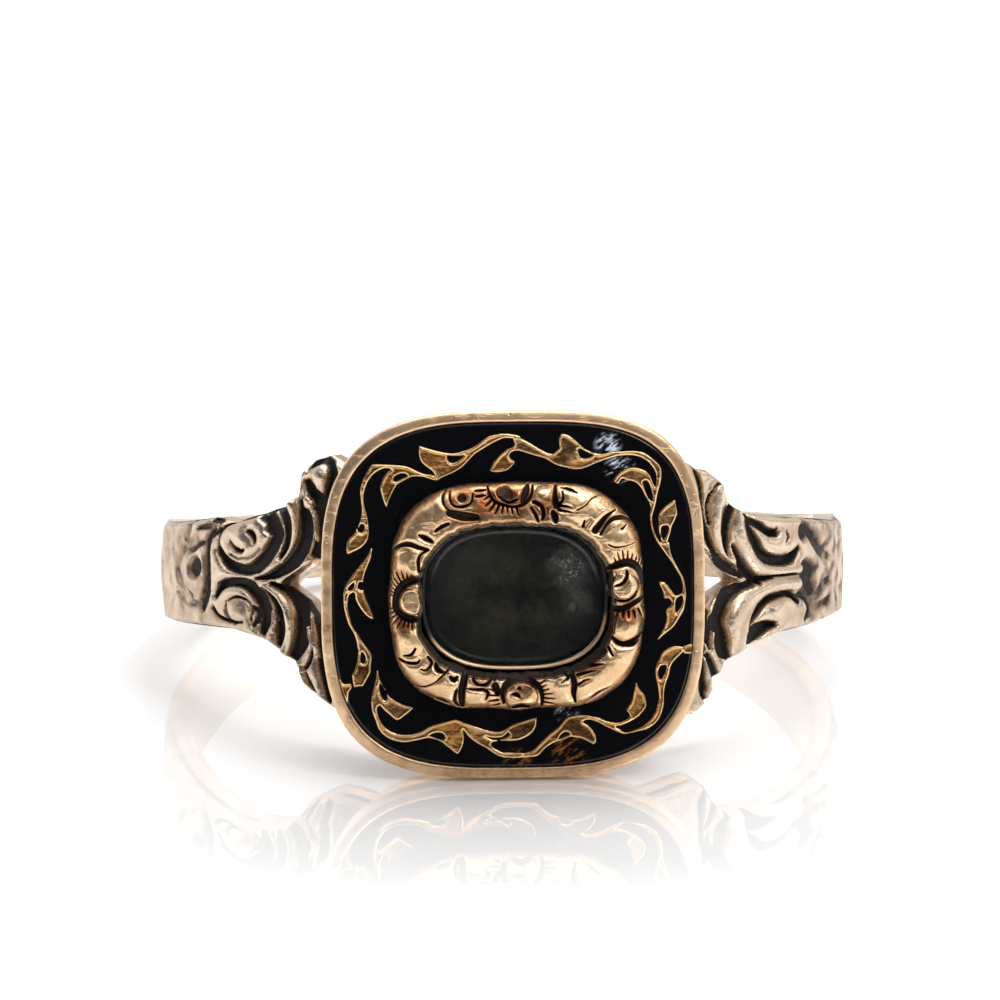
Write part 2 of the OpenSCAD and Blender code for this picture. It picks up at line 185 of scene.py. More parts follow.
@dataclass(frozen=True)
class Motif:
    """One chased form: its cross-section, its height or depth from 0 to 1, and rows of u, v and
    half width."""

    form: Form
    height: float
    points: Points

    def path(self) -> Array:
        """Smooth path of the form; a bead is a path of no length.

        Returns:
            Rows of u, v and half width.
        """
        rows = np.array(self.points, dtype=float)
        if len(rows) == 1:
            rows = np.vstack([rows, rows + [1e-4, 0, 0]])
        return flow(rows)

    def section(self, ratio: Array) -> Array:
        """Height over the ground: half an ellipse over the width for rolls, 1 - ratio^2 for
        swells, and a steep-sided trough for cuts.

        Args:
            ratio: distance from the path over the half width.

        Returns:
            Height or depth from 0 to 1.
        """
        dome = np.clip(1.0 - ratio**2, 0.0, 1.0)
        if self.form is Form.CUT:
            return self.height * np.clip(1.5 * dome, 0.0, 1.0)
        return self.height * (dome if self.form is Form.SWELL else np.sqrt(dome))


def chased(form: Form, *rows: tuple[Any, ...]) -> tuple[Motif, ...]:
    """Chased forms of one cross-section, from rows of height and points."""
    return tuple(Motif(form, height, tuple(points)) for height, *points in rows)


@dataclass(frozen=True)
class Rays:
    """Short cuts that stand round a bead like lashes: its middle, their inner and outer reach in
    millimetres, the first and last direction in degrees, and how many there are."""

    at: tuple[float, float]
    reach: tuple[float, float]
    span: tuple[float, float]
    count: int
    depth: float = 0.85

    def cut(self, u: Array, v: Array) -> Array:
        """Depth from 0 to 1: wedges that thin out away from the bead, of uneven length.

        Args:
            u: first coordinates in millimetres.
            v: second coordinates in millimetres.

        Returns:
            Depth at each point.
        """
        du, dv = u - self.at[0], v - self.at[1]
        first, last = np.radians(self.span)
        share = ((np.arctan2(dv, du) - first) % (2 * math.pi)) / (last - first)
        lash = np.floor(share * self.count)
        length = 0.78 + 0.22 * np.sin(7.3 * lash + 5 * self.at[0])
        along = (np.hypot(du, dv) - self.reach[0]) / (self.reach[1] - self.reach[0]) / length
        off = np.abs(2 * (share * self.count - lash) - 1)
        line = 1 - ease(0.0, 1.0, off / np.maximum(0.62 - 0.45 * along, 0.05))
        return self.depth * line * ease(0, 0.1, along) * (1 - ease(0.75, 1.0, along)) * (share < 1)


def chase(
    u: Array, v: Array, motifs: tuple[Motif, ...], rays: tuple[Rays, ...] = ()
) -> tuple[Array, Array]:
    """Height and depth of many forms: the highest ridge and the deepest cut at each point.

    Args:
        u: first coordinates in millimetres.
        v: second coordinates in millimetres.
        motifs: ridges and grooves.
        rays: fans of short cuts.

    Returns:
        Ridges and cuts, both from 0 to 1.
    """
    raised, cut = np.zeros(u.shape), np.zeros(u.shape)
    for motif in motifs:
        path = motif.path()
        pad = path[:, 2].max()
        near = np.nonzero(
            (u > path[:, 0].min() - pad) & (u < path[:, 0].max() + pad)
            & (v > path[:, 1].min() - pad) & (v < path[:, 1].max() + pad)
        )
        height = motif.section(nearness(u[near], v[near], path))
        target = cut if motif.form is Form.CUT else raised
        target[near] = np.maximum(target[near], height)
    for fan in rays:
        cut = np.maximum(cut, fan.cut(u, v))
    return raised, cut


def inside_of(u: Array, v: Array, outline: Array) -> Array:
    """Signed distance into a closed outline: the distance to its nearest side, positive where a
    line along u crosses the sides an odd number of times.

    Args:
        u: first coordinates of the points, in a row.
        v: second coordinates of the points.
        outline: corners of the outline.

    Returns:
        The distance of each point, negative outside.
    """
    ends = np.roll(outline, -1, axis=0)
    step = ends - outline
    du, dv = u[:, None] - outline[:, 0], v[:, None] - outline[:, 1]
    t = (du * step[:, 0] + dv * step[:, 1]) / np.maximum((step**2).sum(axis=1), 1e-9)
    t = np.clip(t, 0.0, 1.0)
    gap = np.hypot(du - t * step[:, 0], dv - t * step[:, 1]).min(axis=1)
    spans = (outline[:, 1] > v[:, None]) != (ends[:, 1] > v[:, None])
    rise = np.where(np.abs(step[:, 1]) < 1e-9, 1e-9, step[:, 1])
    crossed = spans & (du < step[:, 0] * dv / rise)
    return np.where(crossed.sum(axis=1) % 2 == 1, gap, -gap)


@dataclass(frozen=True)
class WearAndShade:
    """What a height field tells the finish: oxide in its recesses and polish on its edges; the
    oxide mask can also carry painted shade that a caller adds.
    """

    oxide: Array
    polish: Array

    @classmethod
    def of(cls, height: Array, low: float, reach: tuple[int, int], wrap: bool,
           cut: Array | float = 0.0) -> "WearAndShade":
        """Oxide lies where the field is low or lower than its surroundings, polish where it stands
        above them.

        Args:
            height: the field from 0 to 1.
            low: height under which everything is dark.
            reach: samples of the surroundings along both axes.
            wrap: whether the first axis closes on itself.
            cut: cuts, dark all through, together with any painted shade that the caller adds.

        Returns:
            Both masks from 0 to 1.
        """
        around = soften(soften(height, reach[0], 0, wrap), reach[1], 1)
        deep = 1.0 - ease(0.5 * low, 1.5 * low, height)
        hollow = ease(0.03, 0.2, around - height)
        oxide = np.clip(deep + 0.8 * hollow + cut, 0, 1)
        return cls(oxide, ease(0.02, 0.2, height - around))


# Placing and making meshes


@dataclass(frozen=True)
class RingFrame:
    """Places the ring's own frame as the ring lies, from the finger hole of the record."""

    origin: tuple[float, float, float]
    axis: tuple[float, float, float]

    @classmethod
    def from_record(cls, record: dict[str, Any]) -> "RingFrame":
        """Reads the finger hole's middle and axis."""
        hole = next(m for m in record["mounts"] if m["name"] == "finger_hole")
        return cls(tuple(hole["pos_m"]), tuple(hole["axis"]))

    def place(self, points: Array) -> Array:
        """Ring millimetres to row metres: a turn about X that lays the hole's axis, and a shift.

        Args:
            points: places in the ring's frame.

        Returns:
            The places as the ring lies.
        """
        sin_t, cos_t = self.axis[1], self.axis[2]
        x, y, z = points[..., 0], points[..., 1], points[..., 2]
        turned = np.stack([x, y * cos_t + z * sin_t, z * cos_t - y * sin_t], axis=-1)
        return turned * MM + np.array(self.origin)


PLACE = RingFrame.from_record(frame["record"])


@dataclass
class Shell:
    """Points, faces and painted values of one closed mesh, in ring millimetres."""

    points: Array
    quads: Array
    triangles: Array = field(default_factory=lambda: np.zeros((0, 3), dtype=int))
    paint: dict[str, Array] = field(default_factory=dict)

    @classmethod
    def of_rings(
        cls,
        rings: Array,
        paint: dict[str, Array] | None = None,
        looped: bool = False,
        poles: tuple[Array, Array] | None = None,
    ) -> "Shell":
        """Skin over closed rings: ring after ring, each point joined to the next around.

        Args:
            rings: array of ring, step, xyz.
            paint: values per ring and step.
            looped: whether the last ring joins the first.
            poles: points that close the first and the last ring.

        Returns:
            The closed shell.
        """
        count, steps = rings.shape[:2]
        index = np.arange(count * steps).reshape(count, steps)
        after = np.roll(index, -1, axis=0) if looped else index[1:]
        before = index if looped else index[:-1]
        quads = np.stack(
            [before, np.roll(before, -1, axis=1), np.roll(after, -1, axis=1), after], axis=-1
        ).reshape(-1, 4)
        points = rings.reshape(-1, 3)
        values = {k: v.reshape(-1) for k, v in (paint or {}).items()}
        if poles is None:
            return cls(points, quads, paint=values)
        first, last = index[0], index[-1]
        ends = [
            np.stack([np.full(steps, count * steps), np.roll(first, -1), first], axis=-1),
            np.stack([np.full(steps, count * steps + 1), last, np.roll(last, -1)], axis=-1),
        ]
        values = {k: np.append(v, [v[:steps].mean(), v[-steps:].mean()]) for k, v in values.items()}
        return cls(np.vstack([points, *poles]), quads, np.vstack(ends), values)

    def volume(self) -> float:
        """Signed volume: a sixth of the triple products of all triangles.

        Returns:
            Volume in cubic millimetres, negative where faces point inwards.
        """
        sets = [self.quads[:, [0, 1, 2]], self.quads[:, [0, 2, 3]], self.triangles]
        a, b, c = (self.points[np.vstack(sets)[:, k]] for k in range(3))
        return float(np.einsum("ij,ij->i", a, np.cross(b, c)).sum() / 6)

    def outward(self) -> "Shell":
        """The same shell with its faces turned outwards.

        Returns:
            The shell itself.
        """
        if self.volume() < 0:
            self.quads, self.triangles = self.quads[:, ::-1], self.triangles[:, ::-1]
        return self

    def packed(self) -> "Shell":
        """The same shell without points that no face uses.

        Returns:
            The shell itself.
        """
        used, faces = np.unique(
            np.concatenate([self.quads.ravel(), self.triangles.ravel()]), return_inverse=True
        )
        self.points = self.points[used]
        self.paint = {k: v[used] for k, v in self.paint.items()}
        cut = self.quads.size
        self.quads = faces[:cut].reshape(-1, 4)
        self.triangles = faces[cut:].reshape(-1, 3)
        return self

    def make(self, name: str, slot: Slot, dress: bpy.types.Material, node: str) -> None:
        """Writes the shell into the mesh of a new object at the origin, which replaces a CAD node
        and rides on the ring.

        Args:
            name: name of the piece.
            slot: slot of the record that the finish belongs to; not used.
            dress: the finish.
            node: CAD node that the piece stands for.
        """
        self.outward()
        mesh = bpy.data.meshes.new(name)
        faces = self.quads.tolist() + self.triangles.tolist()
        mesh.from_pydata(PLACE.place(self.points).tolist(), [], faces)
        mesh.polygons.foreach_set("use_smooth", np.ones(len(faces), dtype=bool))
        for key, values in self.paint.items():
            layer = mesh.attributes.new(key, "FLOAT", "POINT")
            layer.data.foreach_set("value", values.astype(np.float32))
        mesh.materials.append(dress)
        mesh.update()
        piece = bpy.data.objects.new(name, mesh)
        bpy.context.scene.collection.objects.link(piece)
        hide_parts(node)
        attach(piece, "root")
        LOG.info("%s: %d points, %d triangles", name, len(self.points),
                 2 * len(self.quads) + len(self.triangles))


@dataclass(frozen=True)
class Cushion:
    """A cushion outline: |x / half_w| and |z / half_h|, each raised to the power of its quarter,
    add to 1."""

    half_w: float
    half_h: float
    powers: tuple[float, ...]
    at: tuple[float, float] = (0.0, 0.0)

    def points(self, turn: Array) -> Array:
        """Points of the outline at angles about its middle, as x and z.

        Args:
            turn: angles about the middle.

        Returns:
            Rows of x and z.
        """
        power = np.array(self.powers)[np.floor(turn / (math.pi / 2)).astype(int) % 4]
        cos, sin = np.cos(turn), np.sin(turn)
        total = np.abs(cos / self.half_w) ** power + np.abs(sin / self.half_h) ** power
        reach = total ** (-1.0 / power)
        return np.stack([self.at[0] + reach * cos, self.at[1] + reach * sin], axis=-1)

    def grown(self, by: float) -> "Cushion":
        """The same outline with both half sizes grown."""
        return Cushion(self.half_w + by, self.half_h + by, self.powers, self.at)


def turns(count: int) -> Array:
    """Even angles round a full turn."""
    return np.arange(count) * (2 * math.pi / count)


def at_level(outline: Array, level: Array | float) -> Array:
    """Face points x and z set at a distance in front of the finger hole's middle."""
    y = -np.broadcast_to(level, outline.shape[:-1])
    return np.stack([outline[..., 0], y, outline[..., 1]], axis=-1)


# The head: body, scrolls, enamel, chased frame, collet, glass and hair

HEAD_POWERS = (3.5, 3.15, 3.2, 3.1)
FRAME_POWERS = (2.9, 2.9, 2.9, 2.9)
WINDOW_POWERS = (2.7, 2.7, 2.7, 2.7)


@dataclass(frozen=True)
class HeadSizes:
    """Sizes of the head in millimetres, the same as in the part's source."""

    bore_r: float = 9.0
    front: float = 11.0
    rim_w: float = 0.33
    rim_edge_h: float = 0.45
    rim_wave_r: float = 5.2
    enamel_low: float = 10.98
    enamel_rise: float = 0.15
    enamel_t: float = 0.35
    pocket_floor: float = 10.05
    window_level: float = 11.05
    crest: float = 11.9
    gap: float = 0.02
    rim: Cushion = Cushion(5.27, 5.06, HEAD_POWERS)
    frame: Cushion = Cushion(3.5, 3.12, FRAME_POWERS, (0.09, 0.0))
    opening: Cushion = Cushion(2.68, 2.12, WINDOW_POWERS, (0.04, -0.02))
    glass: Cushion = Cushion(2.475, 1.935, WINDOW_POWERS, (0.04, -0.02))

    def enamel_high(self) -> float:
        """Level of the enamel where it meets the frame."""
        return self.enamel_low + self.enamel_rise

    def seat(self) -> Cushion:
        """Outline of the raised middle that carries the frame."""
        return self.frame.grown(-0.25)

    def between(self, turn: Array, across: Array) -> Array:
        """Points x and z of the enamel from the rim (0) to the seat (1), in straight lines.

        Args:
            turn: angles round the head.
            across: shares of the way.

        Returns:
            Points by share and angle.
        """
        outer = self.rim.grown(-self.rim_w).points(turn)
        inner = self.seat().points(turn)
        return outer + across[:, None, None] * (inner - outer)


@dataclass(frozen=True)
class HeadBody:
    """Rim, channel for the enamel, seat, pocket, tapering sides and closed back of the head."""

    sizes: HeadSizes
    steps: int = 900

    def back_rings(self, turn: Array) -> tuple[list[Array], Array]:
        """Sides below the rim and the hollow back. The side runs in a straight line from the waist
        to the foot as far as the cylinder of the finger hole; from that edge the back follows the
        cylinder, y = -sqrt(r^2 - x^2), to its middle.

        Args:
            turn: angles round the head.

        Returns:
            The rings from the waist to the back, and the pole.
        """
        s = self.sizes
        waist = at_level(s.rim.grown(-0.55).points(turn), s.front - s.rim_edge_h - 1.0)
        foot = at_level(s.rim.grown(-1.1).points(turn), s.bore_r - 1.8)
        step = foot - waist
        a = step[:, 0] ** 2 + step[:, 1] ** 2
        b = waist[:, 0] * step[:, 0] + waist[:, 1] * step[:, 1]
        c = waist[:, 0] ** 2 + waist[:, 1] ** 2 - s.bore_r**2
        cut = (-b - np.sqrt(np.maximum(b * b - a * c, 0.0))) / a
        edge = waist + np.clip(cut, 0.05, 1.0)[:, None] * step
        rings = [waist, (waist + edge) / 2, edge]
        for share in np.linspace(0.97, 0.05, 14):
            x, z = edge[:, 0] * share, edge[:, 2] * share
            rings.append(np.stack([x, -np.sqrt(s.bore_r**2 - x * x), z], axis=-1))
        return rings, np.array([0.0, -s.bore_r, 0.0])

    def shell(self) -> Shell:
        """Rings from the pocket's floor over the seat, the channel and the rim to the back. The
        rim is a low crown that falls a little outwards and waves as if filed by hand.

        Returns:
            The body of the head.
        """
        s = self.sizes
        turn = turns(self.steps)
        channel, seat = s.rim.grown(s.gap - s.rim_w), s.seat()
        high, deep = s.enamel_high(), s.enamel_low - s.enamel_t - s.gap
        inner = [
            (s.opening.grown(-0.9), s.pocket_floor), (s.opening.grown(-0.03), s.pocket_floor),
            (s.opening, s.pocket_floor + 0.03), (s.opening, high - 0.02),
            (s.opening.grown(0.02), high), (seat.grown(-0.02), high),
            (seat.grown(0.02), high - 0.02), (seat.grown(0.02), deep + 0.02),
            (seat.grown(0.05), deep), (channel.grown(-0.05), deep), (channel, deep + 0.02),
            (channel, s.front - 0.07), (channel.grown(0.006), s.front - 0.035),
        ]
        shares = np.linspace(0.07, 0.93, 12)
        falls = 0.04 * (1 - (2 * shares - 1) ** 4) - 0.022 - 0.05 * shares**1.5
        width = s.rim_w - s.gap
        crown = [(channel.grown(t * width), s.front + fall) for t, fall in zip(shares, falls)]
        foot = s.front - s.rim_edge_h
        side = [
            (s.rim.grown(-0.006), s.front - 0.08), (s.rim, s.front - 0.12), (s.rim, s.front - 0.25),
            (s.rim, foot + 0.04), (s.rim.grown(-0.012), foot), (s.rim.grown(-0.06), foot - 0.05),
            (s.rim.grown(-0.14), foot - 0.18), (s.rim.grown(-0.33), foot - 0.55),
        ]
        profile = inner + crown + side
        lip, rim_end, waist = len(inner) - 1, len(inner + crown), len(profile)
        rings = [at_level(outline.points(turn), level) for outline, level in profile]
        x, z = s.rim_wave_r * np.cos(turn), s.rim_wave_r * np.sin(turn)
        wave = 1 + 0.0011 * mottle(x, z, 0.7, 31) + 0.0008 * mottle(x, z, 0.25, 5)
        for k in range(lip, rim_end + 4):
            rings[k] = rings[k] * wave[:, None]
        back, pole = self.back_rings(turn)
        rings = np.array(rings + back)
        oxide = np.zeros(rings.shape[:2])
        oxide[:lip], oxide[lip] = 0.95, 0.6
        # Painted shade: the rim darkens towards the bottom.
        oxide[lip + 1:rim_end] = 0.05 + 0.28 * np.clip(-np.sin(turn), 0, 1) ** 2
        oxide[waist - 2:waist + 1] = np.array([[0.1], [0.7], [0.45]])
        centre = np.array([s.opening.at[0], -s.pocket_floor, s.opening.at[1]])
        paint = {"oxide": oxide, "polish": np.zeros(oxide.shape)}
        return Shell.of_rings(rings, paint, poles=(centre, pole))


# Outlines of the vine read off the face, as rows of x and z in hundredths of a millimetre
VINE: tuple[Points, ...] = (
    ((-256, 413), (-221, 402), (-190, 394), (-160, 391), (-136, 397), (-117, 403), (-96, 415),
     (-78, 429), (-62, 438), (-38, 443), (-14, 444), (21, 438), (21, 426), (-2, 432), (-26, 430),
     (-56, 416), (-81, 401), (-102, 388), (-121, 368), (-139, 350), (-164, 335), (-191, 324),
     (-209, 314), (-214, 335), (-230, 350), (-249, 366), (-257, 390)),
    ((-209, 314), (-225, 319), (-249, 326), (-276, 326), (-301, 314), (-316, 304), (-328, 284),
     (-338, 263), (-345, 243), (-353, 257), (-359, 278), (-363, 300), (-355, 324), (-343, 341),
     (-332, 349), (-349, 351), (-370, 343), (-389, 326), (-400, 306), (-407, 282), (-408, 257),
     (-402, 233), (-396, 208), (-393, 181), (-395, 163), (-402, 147), (-418, 132), (-439, 122),
     (-456, 117), (-454, 152), (-439, 169), (-428, 184), (-420, 203), (-415, 224), (-414, 245),
     (-417, 270), (-418, 294), (-410, 321), (-396, 346), (-385, 362), (-355, 362), (-319, 360),
     (-288, 356), (-264, 345), (-240, 335), (-214, 331)),
    ((-20, 443), (-1, 439), (23, 431), (44, 421), (65, 408), (87, 395), (108, 387), (119, 395),
     (129, 405), (128, 418), (132, 441), (155, 438), (175, 423), (193, 406), (205, 397),
     (224, 389), (245, 386), (269, 391), (300, 393), (330, 394), (355, 391), (373, 382),
     (388, 370), (402, 356), (409, 341), (409, 321), (405, 299), (398, 275), (394, 251),
     (388, 229), (383, 211), (385, 190), (390, 168), (401, 147), (415, 131), (430, 113), (442, 93),
     (433, 91), (417, 113), (405, 127), (390, 150), (382, 171), (376, 199), (375, 226), (378, 237),
     (369, 260), (357, 281), (345, 300), (330, 309), (312, 312), (299, 317), (290, 302),
     (277, 310), (284, 325), (297, 337), (315, 346), (333, 349), (354, 344), (370, 336),
     (380, 321), (388, 301), (393, 295), (394, 321), (390, 339), (379, 355), (367, 367),
     (349, 376), (327, 381), (303, 381), (278, 377), (260, 371), (239, 364), (220, 356),
     (202, 348), (187, 344), (169, 343), (150, 347), (129, 352), (114, 358), (99, 368), (86, 375),
     (71, 379), (50, 385), (29, 392), (13, 396), (-2, 392), (-8, 384), (-2, 373), (7, 367),
     (-2, 352), (-17, 341), (-45, 336), (-63, 343), (-48, 370), (-32, 388), (-14, 401), (4, 410),
     (2, 429), (-20, 431)),
    ((446, 259), (450, 235), (452, 220), (445, 201), (437, 186), (433, 168), (427, 149),
     (421, 133), (410, 139), (405, 159), (399, 180), (401, 196), (399, 214), (406, 229),
     (421, 243), (436, 253)),
    ((430, 142), (433, 114), (445, 87), (457, 65), (468, 44), (474, 19), (475, -9), (471, -36),
     (467, -50), (453, -73), (441, -91), (423, -106), (407, -118), (395, -130), (403, -112),
     (412, -94), (417, -78), (420, -60), (418, -43), (429, -36), (434, -23), (426, -13),
     (414, -14), (412, 1), (405, 17), (399, 33), (417, 32), (429, 18), (438, 6), (448, -5),
     (460, 1), (465, 8), (465, 22), (460, 44), (449, 62), (434, 87), (419, 108), (404, 130),
     (405, 142)),
    ((-387, 143), (-392, 124), (-403, 106), (-418, 88), (-433, 70), (-449, 49), (-460, 30),
     (-466, 12), (-466, -6), (-465, -31), (-460, -52), (-453, -77), (-441, -98), (-433, -117),
     (-429, -135), (-426, -147), (-402, -148), (-417, -123), (-429, -101), (-441, -80),
     (-448, -58), (-453, -37), (-454, -19), (-451, 0), (-443, 9), (-435, 9), (-433, -7),
     (-425, -25), (-413, -43), (-401, -56), (-386, -64), (-384, -53), (-392, -31), (-401, -10),
     (-408, 12), (-411, 30), (-409, 48), (-403, 70), (-394, 91), (-387, 109), (-386, 127)),
    ((-441, -92), (-433, -108), (-428, -126), (-426, -147), (-428, -169), (-432, -187),
     (-440, -209), (-444, -216), (-442, -236), (-438, -251), (-427, -248), (-413, -247),
     (-402, -227), (-392, -209), (-391, -188), (-388, -163), (-396, -148), (-408, -132),
     (-418, -117), (-429, -98)),
    ((-485, -217), (-466, -241), (-448, -239), (-444, -252), (-453, -265), (-456, -297),
     (-467, -297), (-479, -260)),
    ((-375, -197), (-379, -231), (-387, -261), (-392, -292), (-388, -322), (-379, -347),
     (-373, -365), (-361, -381), (-340, -395), (-321, -401), (-300, -404), (-275, -400),
     (-257, -397), (-236, -392), (-220, -395), (-202, -402), (-189, -413), (-175, -423),
     (-155, -438), (-141, -414), (-137, -389), (-141, -369), (-126, -389), (-101, -409),
     (-80, -420), (-62, -433), (-41, -445), (-16, -449), (20, -449), (21, -434), (-7, -436),
     (-28, -434), (-47, -425), (-65, -411), (-43, -401), (-16, -403), (15, -400), (45, -385),
     (58, -370), (62, -354), (61, -336), (30, -345), (6, -352), (-13, -361), (-31, -372),
     (-55, -375), (-83, -368), (-107, -359), (-138, -349), (-159, -340), (-180, -344),
     (-202, -350), (-220, -355), (-239, -364), (-254, -373), (-269, -379), (-291, -382),
     (-312, -381), (-330, -376), (-348, -366), (-363, -350), (-372, -332), (-376, -310),
     (-369, -301), (-357, -314), (-339, -329), (-321, -343), (-299, -329), (-286, -319),
     (-276, -306), (-299, -300), (-323, -289), (-343, -274), (-354, -255), (-366, -231),
     (-371, -209)),
    ((-31, -449), (-1, -449), (30, -449), (63, -445), (76, -434), (88, -422), (106, -410),
     (122, -404), (140, -398), (152, -393), (171, -395), (189, -399), (213, -412), (219, -414),
     (226, -406), (226, -393), (217, -374), (204, -360), (189, -351), (208, -346), (232, -354),
     (250, -364), (272, -375), (290, -383), (305, -386), (336, -380), (360, -375), (382, -363),
     (397, -348), (407, -327), (413, -302), (413, -281), (416, -256), (422, -238), (428, -220),
     (432, -201), (441, -186), (453, -174), (465, -162), (469, -149), (450, -144), (435, -146),
     (416, -155), (404, -167), (398, -182), (389, -201), (389, -225), (394, -247), (397, -268),
     (399, -287), (394, -308), (388, -327), (376, -345), (360, -360), (342, -371), (327, -377),
     (305, -382), (293, -373), (278, -365), (293, -363), (308, -357), (327, -348), (342, -338),
     (354, -326), (364, -311), (364, -293), (358, -274), (346, -262), (336, -243), (330, -262),
     (327, -280), (321, -298), (309, -317), (312, -326), (319, -337), (305, -347), (287, -353),
     (269, -352), (250, -347), (229, -338), (208, -333), (189, -330), (165, -332), (146, -337),
     (134, -349), (122, -364), (103, -379), (85, -395), (67, -413), (51, -428), (30, -435),
     (5, -435), (-31, -433)),
    ((464, -146), (485, -139), (502, -144), (496, -165), (485, -166), (467, -165)),
)

# Drops of enamel left open in the vine, in hundredths too
EYES: tuple[Points, ...] = (
    ((-178, 385), (-163, 383), (-142, 383), (-130, 386), (-148, 371), (-163, 365), (-172, 368),
     (-178, 377)),
    ((-326, 325), (-313, 334), (-296, 336), (-287, 330), (-304, 322), (-319, 315), (-325, 317)),
    ((-416, 199), (-407, 195), (-408, 183), (-416, 175), (-426, 183)),
    ((180, 400), (190, 399), (205, 391), (221, 384), (208, 376), (193, 374), (183, 384)),
    ((357, 309), (367, 312), (375, 301), (382, 278), (384, 257), (375, 260), (366, 280)),
    ((409, 185), (422, 188), (428, 180), (421, 162), (412, 147), (406, 168)),
    ((449, -14), (462, -5), (466, -18), (460, -36), (448, -53), (445, -39), (446, -24)),
    ((-422, 39), (-412, 38), (-409, 21), (-418, 18), (-424, 25)),
    ((-436, 39), (-437, 24), (-449, 16), (-454, 20), (-443, 33)),
    ((-418, -154), (-412, -157), (-406, -172), (-411, -185), (-420, -178)),
    ((-366, -237), (-357, -254), (-348, -274), (-352, -289), (-362, -277), (-367, -261),
     (-369, -246)),
    ((-234, -386), (-220, -379), (-202, -378), (-191, -386), (-193, -396), (-208, -395),
     (-223, -390)),
    ((-80, -388), (-56, -394), (-31, -391), (-16, -379), (-13, -387), (-31, -396), (-56, -399)),
    ((128, -389), (137, -380), (149, -381), (154, -387), (140, -393), (122, -400)),
    ((404, -199), (419, -197), (418, -213), (409, -231), (402, -236), (397, -216)),
)


@dataclass(frozen=True)
class Scrolls:
    """The vine of gold leaves that stands in the enamel."""

    sizes: HeadSizes
    steps: int = 1400
    rows: int = 66
    rise: float = 0.05
    depth: float = 0.07
    margin: float = 0.12

    def ornament(self, x: Array, z: Array) -> Array:
        """Signed distance into the vine in millimetres, at points of the face; the eyes are cut
        out of it.

        Args:
            x: first coordinates in millimetres.
            z: second coordinates in millimetres.

        Returns:
            The distance at each point, negative outside.
        """
        inside = np.full(x.shape, -1.0)
        for outlines, sign in ((VINE, 1.0), (EYES, -1.0)):
            for rows in outlines:
                loop = flow(np.array(rows + rows[:1]) / 100, 2)[:-1]
                low, high = loop.min(axis=0) - self.margin, loop.max(axis=0) + self.margin
                near = np.nonzero((x > low[0]) & (x < high[0]) & (z > low[1]) & (z < high[1]))
                here = inside_of(x[near], z[near], loop)
                inside[near] = (np.maximum(inside[near], here) if sign > 0
                                else np.minimum(inside[near], -here))
        return inside

    def shell(self) -> Shell:
        """Height grid round the head: above the enamel inside the vine, below it elsewhere, so
        that the two surfaces cross along the vine's outline. Faces lie a little lower than their
        outlines.

        Returns:
            The vine.
        """
        s = self.sizes
        turn, across = turns(self.steps), np.linspace(0.0, 1.0, self.rows)
        face = s.between(turn, across)
        x, z = face[..., 0], face[..., 1]
        inside = self.ornament(x, z)
        top = ease(-0.03, 0.03, inside)
        flat = ease(0.045, 0.085, inside)
        height = (self.rise + self.depth) * top - self.depth - 0.014 * flat
        height = height + 0.010 * flat * mottle(x, z, 0.35, 9) + 0.003 * mottle(x, z, 0.1, 8)
        front = at_level(face, s.enamel_low + height)
        low = s.enamel_low - 0.2
        base = [at_level(face[-1], low), at_level(face[0], low)]
        pads = ((0, len(base)), (0, 0))
        paint = {
            "oxide": np.pad(0.35 * ease(-0.045, 0.0, -inside), pads),
            "polish": np.pad(ease(-0.02, 0.01, inside) * (1 - flat), pads),
            "leaf": np.pad(flat, pads),
        }
        return Shell.of_rings(np.concatenate([front, base]), paint, looped=True)


@dataclass(frozen=True)
class Enamel:
    """The black enamel between the rim and the frame."""

    sizes: HeadSizes
    steps: int = 720
    rows: int = 30

    def shell(self) -> Shell:
        """Height grid from the rim to the seat, flat and a little uneven, on straight walls and a
        flat underside.

        Returns:
            The enamel.
        """
        s = self.sizes
        turn, across = turns(self.steps), np.linspace(0.0, 1.0, self.rows)
        face = s.between(turn, across)
        level = s.enamel_low + 0.003 * mottle(face[..., 0], face[..., 1], 0.9, 3)
        low = s.enamel_low - s.enamel_t
        base = [at_level(face[-1], low), at_level(face[0], low)]
        return Shell.of_rings(np.concatenate([at_level(face, level), base]), looped=True)


